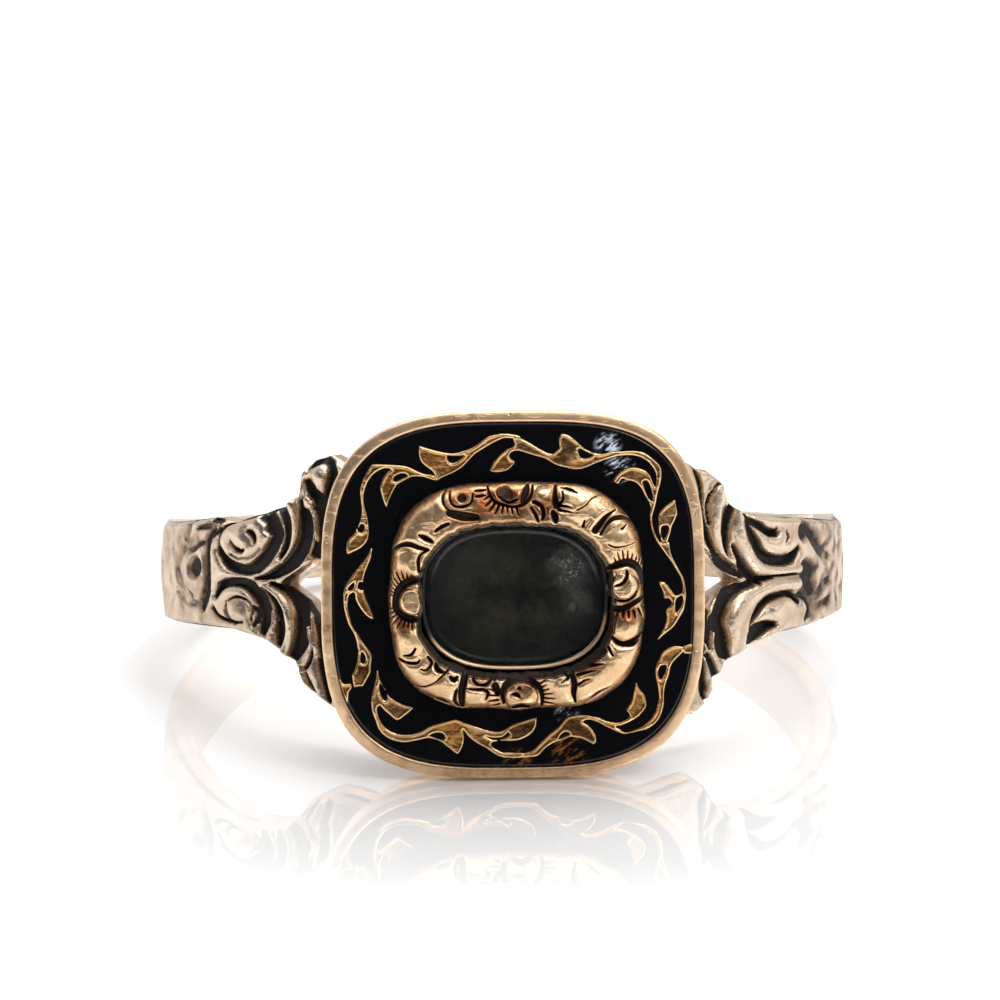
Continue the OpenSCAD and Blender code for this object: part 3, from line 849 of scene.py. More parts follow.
# Chasing of the frame: height, rows of x, z and half width
FRAME_MOTIFS = chased(
    Form.CUT,
    (0.95, (-2.52, 0.48, 0.06), (-2.74, 0.48, 0.1), (-2.97, 0.39, 0.11), (-3.15, 0.19, 0.11),
     (-3.23, -0.08, 0.1), (-3.2, -0.32, 0.1), (-3.02, -0.5, 0.1), (-2.79, -0.58, 0.09),
     (-2.55, -0.58, 0.05)),
    (0.6, (-3.28, 1.33, 0.04), (-3.08, 1.45, 0.06), (-2.85, 1.48, 0.07), (-2.62, 1.4, 0.06),
     (-2.34, 1.32, 0.04)),
    (0.8, (-2.34, 1.32, 0.03), (-2.54, 1.2, 0.03), (-2.61, 1.01, 0.04), (-2.58, 0.73, 0.03),
     (-2.48, 0.77, 0.02)),
    (0.8, (-2.59, 1.73, 0.03), (-2.42, 1.65, 0.07), (-2.24, 1.55, 0.05)),
    (0.6, (-2.14, 1.83, 0.04), (-1.95, 1.96, 0.05), (-1.77, 2.03, 0.04)),
    (0.6, (-1.82, 2.98, 0.03), (-1.93, 2.73, 0.04), (-1.87, 2.51, 0.03), (-1.77, 2.43, 0.02)),
    (0.6, (-1.73, 2.92, 0.02), (-1.73, 2.69, 0.03), (-1.63, 2.53, 0.03), (-1.4, 2.49, 0.04),
     (-1.16, 2.6, 0.03), (-1.11, 2.84, 0.02)),
    (0.4, (-1.4, 2.72, 0.13)), (0.5, (-1.75, 2.33, 0.1), (-1.4, 2.24, 0.13), (-1.01, 2.2, 0.09)),
    (0.6, (-1.04, 2.91, 0.02), (-0.91, 2.92, 0.04), (-0.75, 2.94, 0.02)),
    (0.6, (-1.04, 2.76, 0.02), (-0.91, 2.78, 0.04), (-0.77, 2.79, 0.02)),
    (0.85, (-0.7, 3.05, 0.02), (-0.65, 2.83, 0.04), (-0.5, 2.62, 0.04), (-0.23, 2.52, 0.04),
     (-0.03, 2.48, 0.03), (0.28, 2.54, 0.04), (0.49, 2.78, 0.04), (0.53, 3.04, 0.03)),
    (0.5, (-0.26, 2.87, 0.21), (-0.18, 2.79, 0.19)),
    (0.85, (0.4, 3.06, 0.04), (0.34, 2.86, 0.1), (0.25, 2.61, 0.05)),
    (0.7, (-0.38, 2.75, 0.03), (-0.15, 2.59, 0.04), (0.09, 2.67, 0.04)),
    (0.85, (0.48, 2.47, 0.03), (0.61, 2.25, 0.04), (0.67, 2.08, 0.03)),
    (0.7, (0.56, 2.61, 0.05), (0.77, 2.49, 0.04), (0.82, 2.27, 0.05), (0.79, 2.12, 0.03)),
    (0.95, (1.16, 3.03, 0.04), (1.14, 2.78, 0.06), (1.18, 2.48, 0.08)),
    (0.8, (1.34, 2.89, 0.02), (1.35, 2.66, 0.04), (1.23, 2.54, 0.04)),
    (0.85, (1.24, 2.5, 0.04), (1.44, 2.48, 0.03), (1.61, 2.44, 0.01)),
    (0.85, (1.24, 2.39, 0.04), (1.43, 2.35, 0.03), (1.64, 2.31, 0.01)),
    (0.95, (1.08, 2.33, 0.06), (1.13, 2.21, 0.09), (1.16, 2.07, 0.06)),
    (0.9, (1.3, 2.98, 0.01), (1.54, 2.93, 0.04), (1.75, 2.84, 0.01)),
    (0.5, (2.51, 2.81, 0.01), (2.16, 2.69, 0.02), (1.96, 2.5, 0.02), (1.73, 2.38, 0.02)),
    (0.95, (2.79, 2.37, 0.02), (2.55, 2.21, 0.05), (2.39, 2.02, 0.08), (2.23, 1.82, 0.09)),
    (0.6, (3.3, 1.98, 0.02), (3.09, 2.13, 0.05), (2.86, 2.16, 0.07), (2.66, 2.1, 0.06),
     (2.51, 1.93, 0.05), (2.38, 1.71, 0.04)),
    (0.5, (2.96, 1.85, 0.04), (3.09, 1.96, 0.02)), (0.85, (1.9, 1.93, 0.04), (1.94, 2.1, 0.02)),
    (0.35, (2.58, 1.43, 0.02), (2.78, 1.35, 0.03), (3.09, 1.39, 0.02), (3.35, 1.48, 0.01)),
    (0.97, (2.6, 0.78, 0.07), (2.89, 0.88, 0.1), (3.13, 0.92, 0.11), (3.36, 0.8, 0.1),
     (3.51, 0.56, 0.08), (3.52, 0.33, 0.04)),
    (0.85, (2.76, 0.29, 0.03), (2.97, 0.36, 0.04), (3.09, 0.53, 0.04), (3.09, 0.7, 0.03)),
    (0.65, (2.76, -0.1, 0.03), (3.04, -0.13, 0.04), (3.26, -0.02, 0.04), (3.38, 0.15, 0.02)),
    (0.9, (2.65, 0.67, 0.05), (2.62, 0.26, 0.06), (2.66, -0.14, 0.05)),
    (0.95, (2.72, -0.34, 0.09), (2.97, -0.34, 0.09), (3.2, -0.23, 0.07), (3.44, -0.11, 0.07),
     (3.56, -0.03, 0.04)),
    (0.95, (2.68, -1.12, 0.04), (2.88, -1.28, 0.07), (3.12, -1.28, 0.07), (3.39, -1.13, 0.05),
     (3.58, -0.96, 0.02)),
    (0.9, (2.48, -1.49, 0.06), (2.33, -1.62, 0.08), (2.1, -1.71, 0.08), (1.94, -1.76, 0.05)),
    (0.8, (2.57, -1.39, 0.04), (2.69, -1.61, 0.03)),
    (0.75, (3.08, -1.36, 0.02), (3.27, -1.32, 0.04), (3.45, -1.19, 0.01)),
    (0.7, (2.45, -1.84, 0.01), (2.2, -1.87, 0.04), (1.94, -1.9, 0.07), (1.66, -2.02, 0.08)),
    (0.55, (2.25, -2.02, 0.01), (2.0, -2.06, 0.03), (1.72, -2.14, 0.05)),
    (0.75, (2.07, -2.25, 0.01), (1.9, -2.3, 0.03), (1.74, -2.41, 0.03)),
    (0.4, (2.61, -2.49, 0.01), (2.33, -2.61, 0.03), (2.13, -2.76, 0.04), (1.93, -2.96, 0.04)),
    (0.95, (1.55, -2.05, 0.08), (1.64, -2.37, 0.07), (1.62, -2.64, 0.06), (1.67, -2.9, 0.03)),
    (0.8, (1.19, -2.05, 0.03), (1.39, -2.13, 0.04), (1.57, -2.21, 0.03)),
    (0.7, (1.27, -2.36, 0.01), (1.47, -2.23, 0.04)),
    (0.9, (-0.29, -2.9, 0.04), (-0.34, -2.62, 0.06), (-0.23, -2.39, 0.08), (-0.02, -2.27, 0.1),
     (0.21, -2.23, 0.11), (0.49, -2.32, 0.09), (0.69, -2.51, 0.06), (0.76, -2.75, 0.05),
     (0.75, -3.01, 0.03)),
    (0.97, (-0.41, -2.17, 0.12), (-0.02, -2.11, 0.16), (0.37, -2.1, 0.16), (0.78, -2.13, 0.13)),
    (0.9, (-0.13, -2.68, 0.01), (0.04, -2.65, 0.04), (0.14, -2.74, 0.02)),
    (0.8, (0.13, -2.49, 0.05)),
    (0.95, (-0.05, -3.04, 0.04), (0.19, -2.98, 0.06), (0.42, -3.04, 0.04)),
    (0.75, (-1.1, -2.1, 0.03), (-1.12, -2.26, 0.04), (-1.0, -2.38, 0.04), (-0.78, -2.39, 0.04),
     (-0.64, -2.25, 0.04)),
    (0.85, (-1.04, -2.03, 0.03), (-0.8, -2.01, 0.05), (-0.61, -2.11, 0.06), (-0.55, -2.25, 0.06)),
    (0.85, (-1.31, -2.5, 0.02), (-1.04, -2.52, 0.04), (-0.83, -2.53, 0.04), (-0.72, -2.64, 0.04),
     (-0.8, -2.81, 0.02)),
    (0.9, (-0.53, -2.42, 0.1), (-0.45, -2.62, 0.08)),
    (0.97, (-1.33, -2.0, 0.09), (-1.39, -2.3, 0.1), (-1.45, -2.61, 0.1), (-1.43, -2.97, 0.07)),
    (0.75, (-1.59, -2.53, 0.04), (-1.64, -2.81, 0.05), (-1.54, -2.98, 0.04)),
    (0.6, (-2.88, -2.4, 0.01), (-2.53, -2.44, 0.02), (-2.21, -2.33, 0.02), (-1.98, -2.14, 0.03),
     (-1.77, -1.93, 0.04)),
    (0.9, (-2.16, -1.8, 0.04), (-2.1, -1.96, 0.06), (-1.97, -2.03, 0.04)),
    (0.85, (-1.76, -2.16, 0.04), (-1.66, -2.26, 0.06), (-1.57, -2.17, 0.04)),
    (0.85, (-1.86, -1.7, 0.04), (-1.7, -1.94, 0.06), (-1.5, -2.03, 0.05)),
    (0.65, (-2.36, -1.62, 0.04), (-2.26, -1.78, 0.04), (-2.41, -1.97, 0.03), (-2.57, -1.95, 0.02)),
    (0.75, (-2.18, -2.76, 0.01), (-1.98, -2.81, 0.04), (-1.77, -2.91, 0.02)),
    (0.65, (-3.03, -1.58, 0.02), (-2.83, -1.55, 0.04), (-2.71, -1.38, 0.03)),
    (0.75, (-3.15, -1.68, 0.03), (-2.91, -1.77, 0.04), (-2.68, -1.78, 0.04), (-2.59, -1.69, 0.02)),
    (0.5, (-2.44, -1.11, 0.02), (-2.32, -1.35, 0.03)),
) + chased(
    Form.SWELL,
    (0.9, (-3.04, 1.64, 0.59), (-2.69, 2.34, 0.63), (-2.1, 2.65, 0.55)),
    (0.9, (1.69, 2.66, 0.51), (2.35, 2.38, 0.59), (2.82, 2.06, 0.47)),
    (0.9, (-2.95, -1.97, 0.47), (-2.53, -2.33, 0.59), (-1.9, -2.61, 0.47)),
    (1.0, (1.94, -2.56, 0.47), (2.56, -2.26, 0.63), (3.12, -1.67, 0.55)),
    (0.8, (-2.85, 1.01, 0.47)), (0.8, (3.01, 1.63, 0.51)), (0.8, (-2.91, -1.22, 0.43)),
    (0.8, (3.16, -0.85, 0.43)), (0.8, (1.35, -2.56, 0.31)), (0.8, (-1.0, -2.77, 0.35)),
    (0.8, (0.87, 2.78, 0.31)),
) + chased(
    Form.ROLL,
    (1.0, (-2.83, -0.11, 0.37)), (1.0, (3.05, 0.27, 0.38)), (1.0, (0.19, -2.75, 0.46)),
    (0.7, (2.91, 0.53, 0.14)),
)

# Fans of short cuts on the frame
FRAME_RAYS: tuple[Rays, ...] = (
    Rays((-2.80, -0.11), (0.52, 0.98), (86, 166), 9),
    Rays((-2.80, -0.11), (0.52, 0.92), (194, 276), 8),
    Rays((3.09, 0.27), (0.66, 1.06), (50, 118), 8),
    Rays((3.09, 0.27), (0.66, 1.02), (244, 326), 7),
    Rays((0.17, -2.74), (0.58, 0.98), (-18, 40), 6),
    Rays((0.17, -2.74), (0.58, 1.00), (160, 204), 4),
    Rays((-0.10, 3.06), (0.58, 0.94), (203, 292), 8),
    Rays((2.36, 2.36), (0.30, 0.62), (214, 240), 3),
)

# Places of the frame painted brown as shade: x, z and radius
FRAME_SHADED_PLACES: Points = (
    (-1.25, 2.5, 0.8), (-0.2, 2.6, 0.95), (0.95, 2.4, 0.55), (-0.9, -2.2, 0.45), (0.2, -2.35, 0.6),
    (2.0, -1.85, 0.5), (-2.1, -1.7, 0.5), (-3.0, 0.55, 0.4), (-3.0, -0.7, 0.4), (3.1, -0.5, 0.45),
)


@dataclass(frozen=True)
class ChasedFrame:
    """The raised frame round the window. Beads holds where the two side beads stand, as angle and
    width in radians; the frame hangs over the collet there and along its top."""

    sizes: HeadSizes
    steps: int = 1300
    rows: int = 62
    beads: Points = ((3.18, 0.14), (0.09, 0.13))
    over_beads: float = 0.15
    over_top: float = 0.13
    corner_rise: float = 0.05

    def outline_wave(self, turn: Array) -> tuple[Array, Array]:
        """How far the outer and the inner outline stray from the plain cushions, in millimetres.

        Args:
            turn: angles round the head.

        Returns:
            Outer and inner waves by angle.
        """
        x, z = 3.3 * np.cos(turn), 3.3 * np.sin(turn)
        outer = 0.03 * mottle(x, z, 0.55, 12) + 0.012 * mottle(x, z, 0.2, 4)
        outer = outer + self.corner_rise * ease(0.5, 0.95, np.abs(np.sin(2 * turn)))
        inner = 0.035 * mottle(x, z, 0.3, 21) + 0.025 * mottle(x, z, 0.14, 2)
        return outer, inner

    def shell(self) -> Shell:
        """Height grid from the outer edge over the band to the inner edge, on straight walls. The
        band is flat with quarter-round edges; swells raise it, cuts sink into it, and both are
        softened along and across.

        Returns:
            The frame.
        """
        s = self.sizes
        turn, across = turns(self.steps), np.linspace(0.0, 1.0, self.rows)
        outer_wave, inner_wave = self.outline_wave(turn)
        ray = np.stack([np.cos(turn), np.sin(turn)], axis=-1)
        lobes = sum(np.exp(-((turn - at) / width) ** 2) for at, width in self.beads)
        top = self.over_top * ease(-0.2, 0.5, np.sin(turn))
        over = np.maximum(top, self.over_beads * lobes) + 0.03
        outer = s.frame.points(turn) + outer_wave[:, None] * ray
        hole = s.opening.points(turn)
        inner = hole + (inner_wave - over)[:, None] * ray
        face = outer + across[:, None, None] * (inner - outer)
        x, z = face[..., 0], face[..., 1]
        relief, cut = chase(x, z, FRAME_MOTIFS, FRAME_RAYS)
        t = across[:, None]
        round_out = np.sqrt(1 - (1 - np.clip(t / 0.24, 0, 1)) ** 2)
        round_in = np.sqrt(1 - (1 - np.clip((1 - t) / 0.17, 0, 1)) ** 2)
        edge = 0.1 + 0.9 * np.minimum(round_out, 0.15 + 0.85 * round_in)
        slope = 0.66 + 0.34 * np.sin(0.5 * math.pi * np.clip(t / 0.8, 0, 1))
        recess = (ease(0.15, -0.35, np.sin(turn)) * (1 - lobes))[None, :] * ease(0.82, 0.94, t)
        cut = np.maximum(cut, 0.95 * recess)
        soft = soften(soften(1 - cut, 4, 1, True), 2, 0)
        corner = ease(0.35, 0.8, np.abs(np.sin(2 * turn)))[None, :]
        swell = np.minimum(slope + 0.3 * (relief - 0.5) * (1 - 0.6 * corner), 1.0)
        height = edge * swell * (1 - 0.5 * cut) * (0.76 + 0.24 * soft)
        height = height + 0.004 * mottle(x, z, 0.09, 3) + 0.005 * mottle(x, z, 0.3, 6)
        # Next to the cuts, a soft brown halo (1 - soft) is painted shade.
        wear_and_shade = WearAndShade.of(height.T, 0.06, (14, 4), True, 0.72 * cut.T**1.5 + 0.65 * (1 - soft.T))
        foot, skirt = s.enamel_high() + s.gap, s.enamel_low + s.gap
        level = foot + (s.crest - foot) * np.clip(height, 0, 1)
        base = [
            at_level(hole, foot + 0.08), at_level(hole, foot), at_level(outer - 0.20 * ray, foot),
            at_level(outer - 0.19 * ray, skirt), at_level(outer, skirt),
        ]
        pads = ((0, len(base)), (0, 0))
        paint = {
            "oxide": np.pad(wear_and_shade.oxide.T, pads, constant_values=1.0),
            "polish": np.pad(wear_and_shade.polish.T, pads),
        }
        return Shell.of_rings(np.concatenate([at_level(face, level), base]), paint, looped=True)


@dataclass(frozen=True)
class Collet:
    """The thin wall with a turned-in lip that holds the glass, rubbed over by hand."""

    sizes: HeadSizes
    steps: int = 480
    wall: float = 0.085
    lip: float = 0.03

    def shell(self) -> Shell:
        """Profile carried round the glass's outline, its top a little uneven; dark on both walls
        and, under the frame's shadow, round the top.

        Returns:
            The collet.
        """
        s = self.sizes
        turn = turns(self.steps)
        inner = s.glass.grown(s.gap)
        top = s.window_level + 0.10
        foot = s.pocket_floor + s.gap
        profile = [
            (self.wall, foot), (self.wall, top - 0.05), (self.wall * 0.93, top - 0.02),
            (self.wall * 0.7, top), (self.wall * 0.35, top + 0.004), (0.0, top - 0.006),
            (-self.lip * 0.8, top - 0.03), (-self.lip, top - 0.05), (-self.lip, top - 0.075),
            (0.0, top - 0.085), (0.0, foot),
        ]
        x, z = 2.4 * np.cos(turn), 2.4 * np.sin(turn)
        wave = 0.022 * mottle(x, z, 0.5, 14) + 0.01 * mottle(x, z, 0.16, 15)
        rings = []
        for grow, level in profile:
            rise = wave * (0.6 if level > foot + 0.1 else 0.0)
            rings.append(at_level(inner.grown(grow).points(turn), level + rise))
        # Painted shadow of the frame: the collet goes dark round its top and sides.
        shade = 0.95 * ease(-0.55, -0.1, np.sin(turn) - 0.12 * np.cos(turn))
        oxide = np.tile(shade, (len(rings), 1))
        oxide[[0, 1, -2, -1]] = 0.9
        return Shell.of_rings(np.array(rings), {"oxide": oxide, "polish": 0 * oxide}, looped=True)


@dataclass(frozen=True)
class Glass:
    """The low domed glass."""

    sizes: HeadSizes
    dome: float = 0.045
    thickness: float = 0.2
    steps: int = 240

    def shell(self) -> Shell:
        """Dome of height 0.045 (1 - t^2) over the outline scaled by t, on a flat underside.

        Returns:
            The glass.
        """
        s = self.sizes
        turn = turns(self.steps)
        low, high = s.window_level - self.thickness, s.window_level + self.dome
        under = [at_level(self.scaled(t, turn), low) for t in np.linspace(0.1, 1.0, 8)]
        over = [
            at_level(self.scaled(t, turn), s.window_level + self.dome * (1 - t * t))
            for t in np.cos(np.linspace(0.0, 0.48 * math.pi, 26))
        ]
        middle = np.array([s.glass.at[0], 0.0, s.glass.at[1]])
        poles = (middle - [0, low, 0], middle - [0, high, 0])
        return Shell.of_rings(np.array(under + over), poles=poles)

    def scaled(self, share: float, turn: Array) -> Array:
        """The glass's outline scaled about its own middle."""
        middle = np.array(self.sizes.glass.at)
        return middle + share * (self.sizes.glass.points(turn) - middle)


@dataclass(frozen=True)
class Hair:
    """The matted hair, a little below the glass."""

    sizes: HeadSizes
    below: float = 0.26
    steps: int = 300
    rows: int = 70

    def shell(self) -> Shell:
        """Disk of matted lumps: the outline scaled by t, from 1 to the middle, at levels of three
        sizes of noise, on a straight wall.

        Returns:
            The hair.
        """
        s = self.sizes
        turn = turns(self.steps)
        low, top = s.pocket_floor + s.gap, s.window_level - self.below
        middle = np.array(s.glass.at)
        outline = s.glass.points(turn) - middle
        shares = np.linspace(0.02, 1.0, self.rows)[::-1]
        face = middle + shares[:, None, None] * outline
        x, z = face[..., 0], face[..., 1]
        lumps = mottle(x, z, 0.45, 18) + 0.5 * mottle(x, z, 0.2, 19)
        level = top - 0.06 + 0.02 * mottle(x, z, 0.09, 16) + 0.03 * lumps
        wall = at_level(face[0], low)[None]
        rings = np.concatenate([wall, at_level(face, np.minimum(level, top))])
        poles = tuple(np.array([middle[0], -y, middle[1]]) for y in (low, top - 0.05))
        return Shell.of_rings(rings, poles=poles)


# The bands: a chased shoulder and half of the plain hoop on each side


def read_rows(at: Array, rows: Points) -> Array:
    """Values at places, by straight lines between the rows of a table of place and value."""
    table = np.array(sorted(rows))
    return np.interp(at, table[:, 0], table[:, 1])


@dataclass(frozen=True)
class Edges:
    """Edges of a band as rows of angle from the middle of the head, in degrees, and height along
    the finger, in millimetres: the outer edges above and below, and those of the gap."""

    upper: Points
    lower: Points
    gap_upper: Points
    gap_lower: Points


LEFT_EDGES = Edges(
    upper=((18, 3.3), (27.6, 3.45), (31.1, 3.70), (33.9, 3.56), (35.7, 3.31), (36.0, 2.97),
           (36.2, 2.65), (37.0, 2.55), (39.3, 2.40), (39.8, 2.26), (43.3, 2.12), (45.6, 1.99),
           (49.6, 1.84), (53.4, 1.65), (55.1, 1.71), (58.2, 1.78), (63.2, 1.66), (71.1, 1.52),
           (80, 1.41), (90, 1.36)),
    lower=((18, 3.2), (27, 3.4), (30.3, 3.36), (33, 3.11), (35.8, 2.78), (37.2, 2.22),
           (40.3, 1.89), (43.7, 1.60), (48, 1.44), (53.1, 1.32), (60.9, 1.33), (83.7, 1.42),
           (90, 1.36)),
    gap_upper=((18, 1.7), (28, 1.6), (31.6, 1.25), (34.4, 0.62), (37.2, 0.38), (39.8, 0.12),
               (40.5, 0.0)),
    gap_lower=((18, 1.7), (28, 1.6), (32, 1.26), (33.9, 0.84), (36.1, 0.38), (39.6, 0.08),
               (40.5, 0.0)),
)
RIGHT_EDGES = Edges(
    upper=((18, 3.3), (27, 3.5), (30.9, 3.40), (32.8, 3.23), (34.5, 3.19), (36.6, 2.96),
           (37.9, 2.55), (38.2, 2.33), (39.3, 2.28), (41.2, 2.02), (41.9, 1.93), (48.9, 1.76),
           (57.4, 1.65), (69.7, 1.45), (79.5, 1.30), (90, 1.36)),
    lower=((18, 3.4), (28, 3.6), (31.5, 3.60), (33.5, 3.38), (34.9, 3.08), (36.3, 2.70),
           (37.4, 2.26), (39.8, 2.13), (45.1, 1.79), (52.8, 1.53), (62.6, 1.46), (79.2, 1.32),
           (90, 1.36)),
    gap_upper=((18, 1.6), (28, 1.5), (30.5, 1.25), (33.3, 0.93), (38, 0.45), (40.8, 0.1),
               (41.4, 0.0)),
    gap_lower=((18, 1.6), (28, 1.5), (31, 1.2), (33.6, 0.82), (36.5, 0.37), (40.2, 0.08),
               (41.4, 0.0)),
)

# Chasing of the shoulders: height, rows of angle, height along the finger and half width
LEFT_MOTIFS = chased(
    Form.CUT,
    (0.97, (55.6, 0.89, 0.16), (53.6, 0.57, 0.18), (50.4, 0.4, 0.17), (47.4, 0.42, 0.17),
     (44.6, 0.68, 0.21), (42.6, 1.04, 0.21), (41.5, 1.41, 0.2), (41.9, 1.71, 0.19),
     (42.7, 1.96, 0.13)),
    (0.97, (40.5, 2.19, 0.19), (39.2, 1.87, 0.21), (39.0, 1.48, 0.18), (39.3, 1.15, 0.14),
     (40.6, 0.8, 0.08)),
    (0.97, (35.5, 2.34, 0.2), (35.3, 1.79, 0.24), (35.7, 1.28, 0.25), (37.3, 0.82, 0.22),
     (40.2, 0.47, 0.15), (43.3, 0.25, 0.08), (46.5, 0.16, 0.04)),
    (0.97, (32.9, 2.25, 0.28), (32.5, 1.8, 0.28), (32.8, 1.3, 0.24), (33.8, 0.96, 0.16)),
    (0.95, (34.7, 3.3, 0.05), (33.8, 3.43, 0.09), (31.9, 3.56, 0.13), (30.2, 3.37, 0.17),
     (30.1, 3.04, 0.16), (31.0, 2.7, 0.12), (31.6, 2.42, 0.13)),
    (0.95, (34.9, 2.93, 0.13), (34.0, 2.71, 0.21), (32.7, 2.5, 0.2)),
    (0.9, (51.9, 1.15, 0.07), (50.9, 0.98, 0.09), (49.0, 0.92, 0.06), (48.0, 0.99, 0.03)),
    (0.9, (47.6, 1.48, 0.07), (46.4, 1.36, 0.09), (46.2, 1.2, 0.06)),
    (0.85, (45.0, 1.91, 0.06), (43.5, 1.77, 0.11), (43.6, 1.53, 0.06)),
    (0.7, (51.9, 1.76, 0.06), (46.8, 1.98, 0.09), (42.7, 2.15, 0.1), (40.1, 2.26, 0.1)),
    (0.95, (56.5, -0.42, 0.11), (55.3, -0.15, 0.15), (52.6, 0.01, 0.13), (49.4, 0.0, 0.17),
     (46.9, -0.16, 0.22), (45.1, -0.42, 0.26), (44.2, -0.72, 0.26), (44.2, -1.05, 0.21),
     (44.7, -1.28, 0.13)),
    (0.95, (44.4, -0.08, 0.04), (42.0, -0.39, 0.12), (40.7, -0.74, 0.19), (40.6, -1.22, 0.19),
     (40.8, -1.58, 0.11)),
    (0.97, (42.9, 0.06, 0.05), (39.4, -0.12, 0.11), (37.0, -0.49, 0.19), (36.1, -0.95, 0.23),
     (36.4, -1.46, 0.23), (37.8, -1.92, 0.15)),
    (0.95, (37.4, -0.13, 0.07), (34.2, -0.66, 0.13), (32.9, -1.15, 0.18), (32.2, -1.65, 0.18),
     (31.8, -2.26, 0.13)),
    (0.9, (34.2, -1.64, 0.06), (34.5, -1.98, 0.08), (35.5, -2.24, 0.06), (36.8, -2.26, 0.03)),
    (0.6, (62.8, 0.33, 0.25)),
    (0.35, (63.6, 1.11, 0.06), (67.5, 0.75, 0.1), (70.0, 0.21, 0.15), (68.1, -0.28, 0.11),
     (63.8, -0.51, 0.06)),
    (0.4, (61.6, 1.45, 0.04), (57.9, 1.53, 0.08), (56.9, 1.3, 0.08)),
    (0.4, (64.3, 1.53, 0.1), (65.8, 1.17, 0.14), (64.4, 0.79, 0.08), (60.2, 1.06, 0.05)),
    (0.35, (70.1, -0.42, 0.1), (65.6, -0.65, 0.11), (61.1, -0.7, 0.06), (59.1, -0.4, 0.06)),
    (0.4, (58.9, 1.08, 0.07), (59.7, 0.73, 0.1), (59.5, 0.28, 0.1), (60.0, -0.24, 0.08),
     (61.1, -0.59, 0.07)),
    (0.5, (53.2, -0.55, 0.05), (53.5, -0.78, 0.07), (52.7, -1.0, 0.07), (50.6, -1.12, 0.06)),
    (0.4, (52.6, -0.49, 0.03), (50.5, -0.38, 0.04), (48.0, -0.47, 0.05), (47.1, -0.72, 0.06),
     (47.3, -1.0, 0.06)),
    (0.6, (47.0, -0.63, 0.08), (45.9, -0.82, 0.1), (46.6, -1.13, 0.08)),
    (0.8, (54.5, 0.57, 0.08), (55.7, 0.96, 0.09), (55.3, 1.32, 0.09), (53.7, 1.59, 0.08),
     (51.2, 1.75, 0.06), (47.6, 1.88, 0.06), (44.7, 2.05, 0.07), (41.9, 2.15, 0.08)),
    (0.9, (44.9, 1.88, 0.09), (43.2, 1.76, 0.14), (42.8, 1.49, 0.11)),
    (0.35, (52.4, 0.82, 0.04), (50.2, 0.7, 0.04), (47.2, 0.76, 0.04), (45.1, 1.01, 0.04)),
    (0.6, (57.9, 1.7, 0.04), (56.0, 1.66, 0.08), (55.6, 1.49, 0.09), (57.0, 1.3, 0.06)),
    (0.5, (56.9, 1.53, 0.11), (58.6, 1.11, 0.14), (59.1, 0.64, 0.15), (58.9, 0.17, 0.14),
     (59.1, -0.29, 0.15), (60.4, -0.72, 0.15)),
    (0.85, (33.0, -2.0, 0.06), (32.2, -2.4, 0.09), (31.4, -2.8, 0.11), (30.9, -3.11, 0.1)),
    (0.5, (35.4, -2.37, 0.05), (34.6, -2.65, 0.07), (33.4, -2.98, 0.06)),
    (0.6, (45.8, -1.02, 0.05), (44.4, -1.24, 0.07), (44.0, -1.41, 0.05)),
    (0.5, (57.1, -0.74, 0.05), (55.4, -0.98, 0.06), (52.0, -1.09, 0.05), (48.8, -1.08, 0.03)),
) + chased(
    Form.SWELL,
    (0.8, (49.2, 1.15, 0.55)), (0.8, (50.5, -0.85, 0.45)), (0.7, (64.0, 0.2, 0.6)),
    (1.0, (38.0, 2.3, 0.2), (37.0, 1.5, 0.25), (38.6, 0.84, 0.25), (44.5, 0.19, 0.2)),
    (1.0, (39.9, -2.0, 0.2), (38.2, -1.2, 0.3), (41.0, -0.4, 0.3), (48.0, -0.1, 0.2)),
    (0.8, (32.2, 3.1, 0.35), (32.4, 2.5, 0.2)),
) + chased(
    Form.ROLL,
    (0.8, (34.7, 2.32, 0.16)), (1.0, (34.9, 2.45, 0.13)),
    (0.7, (34.4, 2.26, 0.03), (33.8, 2.01, 0.05), (33.4, 1.67, 0.04), (33.3, 1.32, 0.03)),
    (0.7, (35.1, -1.1, 0.03), (34.6, -1.35, 0.04), (33.9, -1.61, 0.03)),
    (0.8, (42.1, -0.73, 0.05), (41.9, -0.95, 0.07), (42.2, -1.25, 0.05)),
)
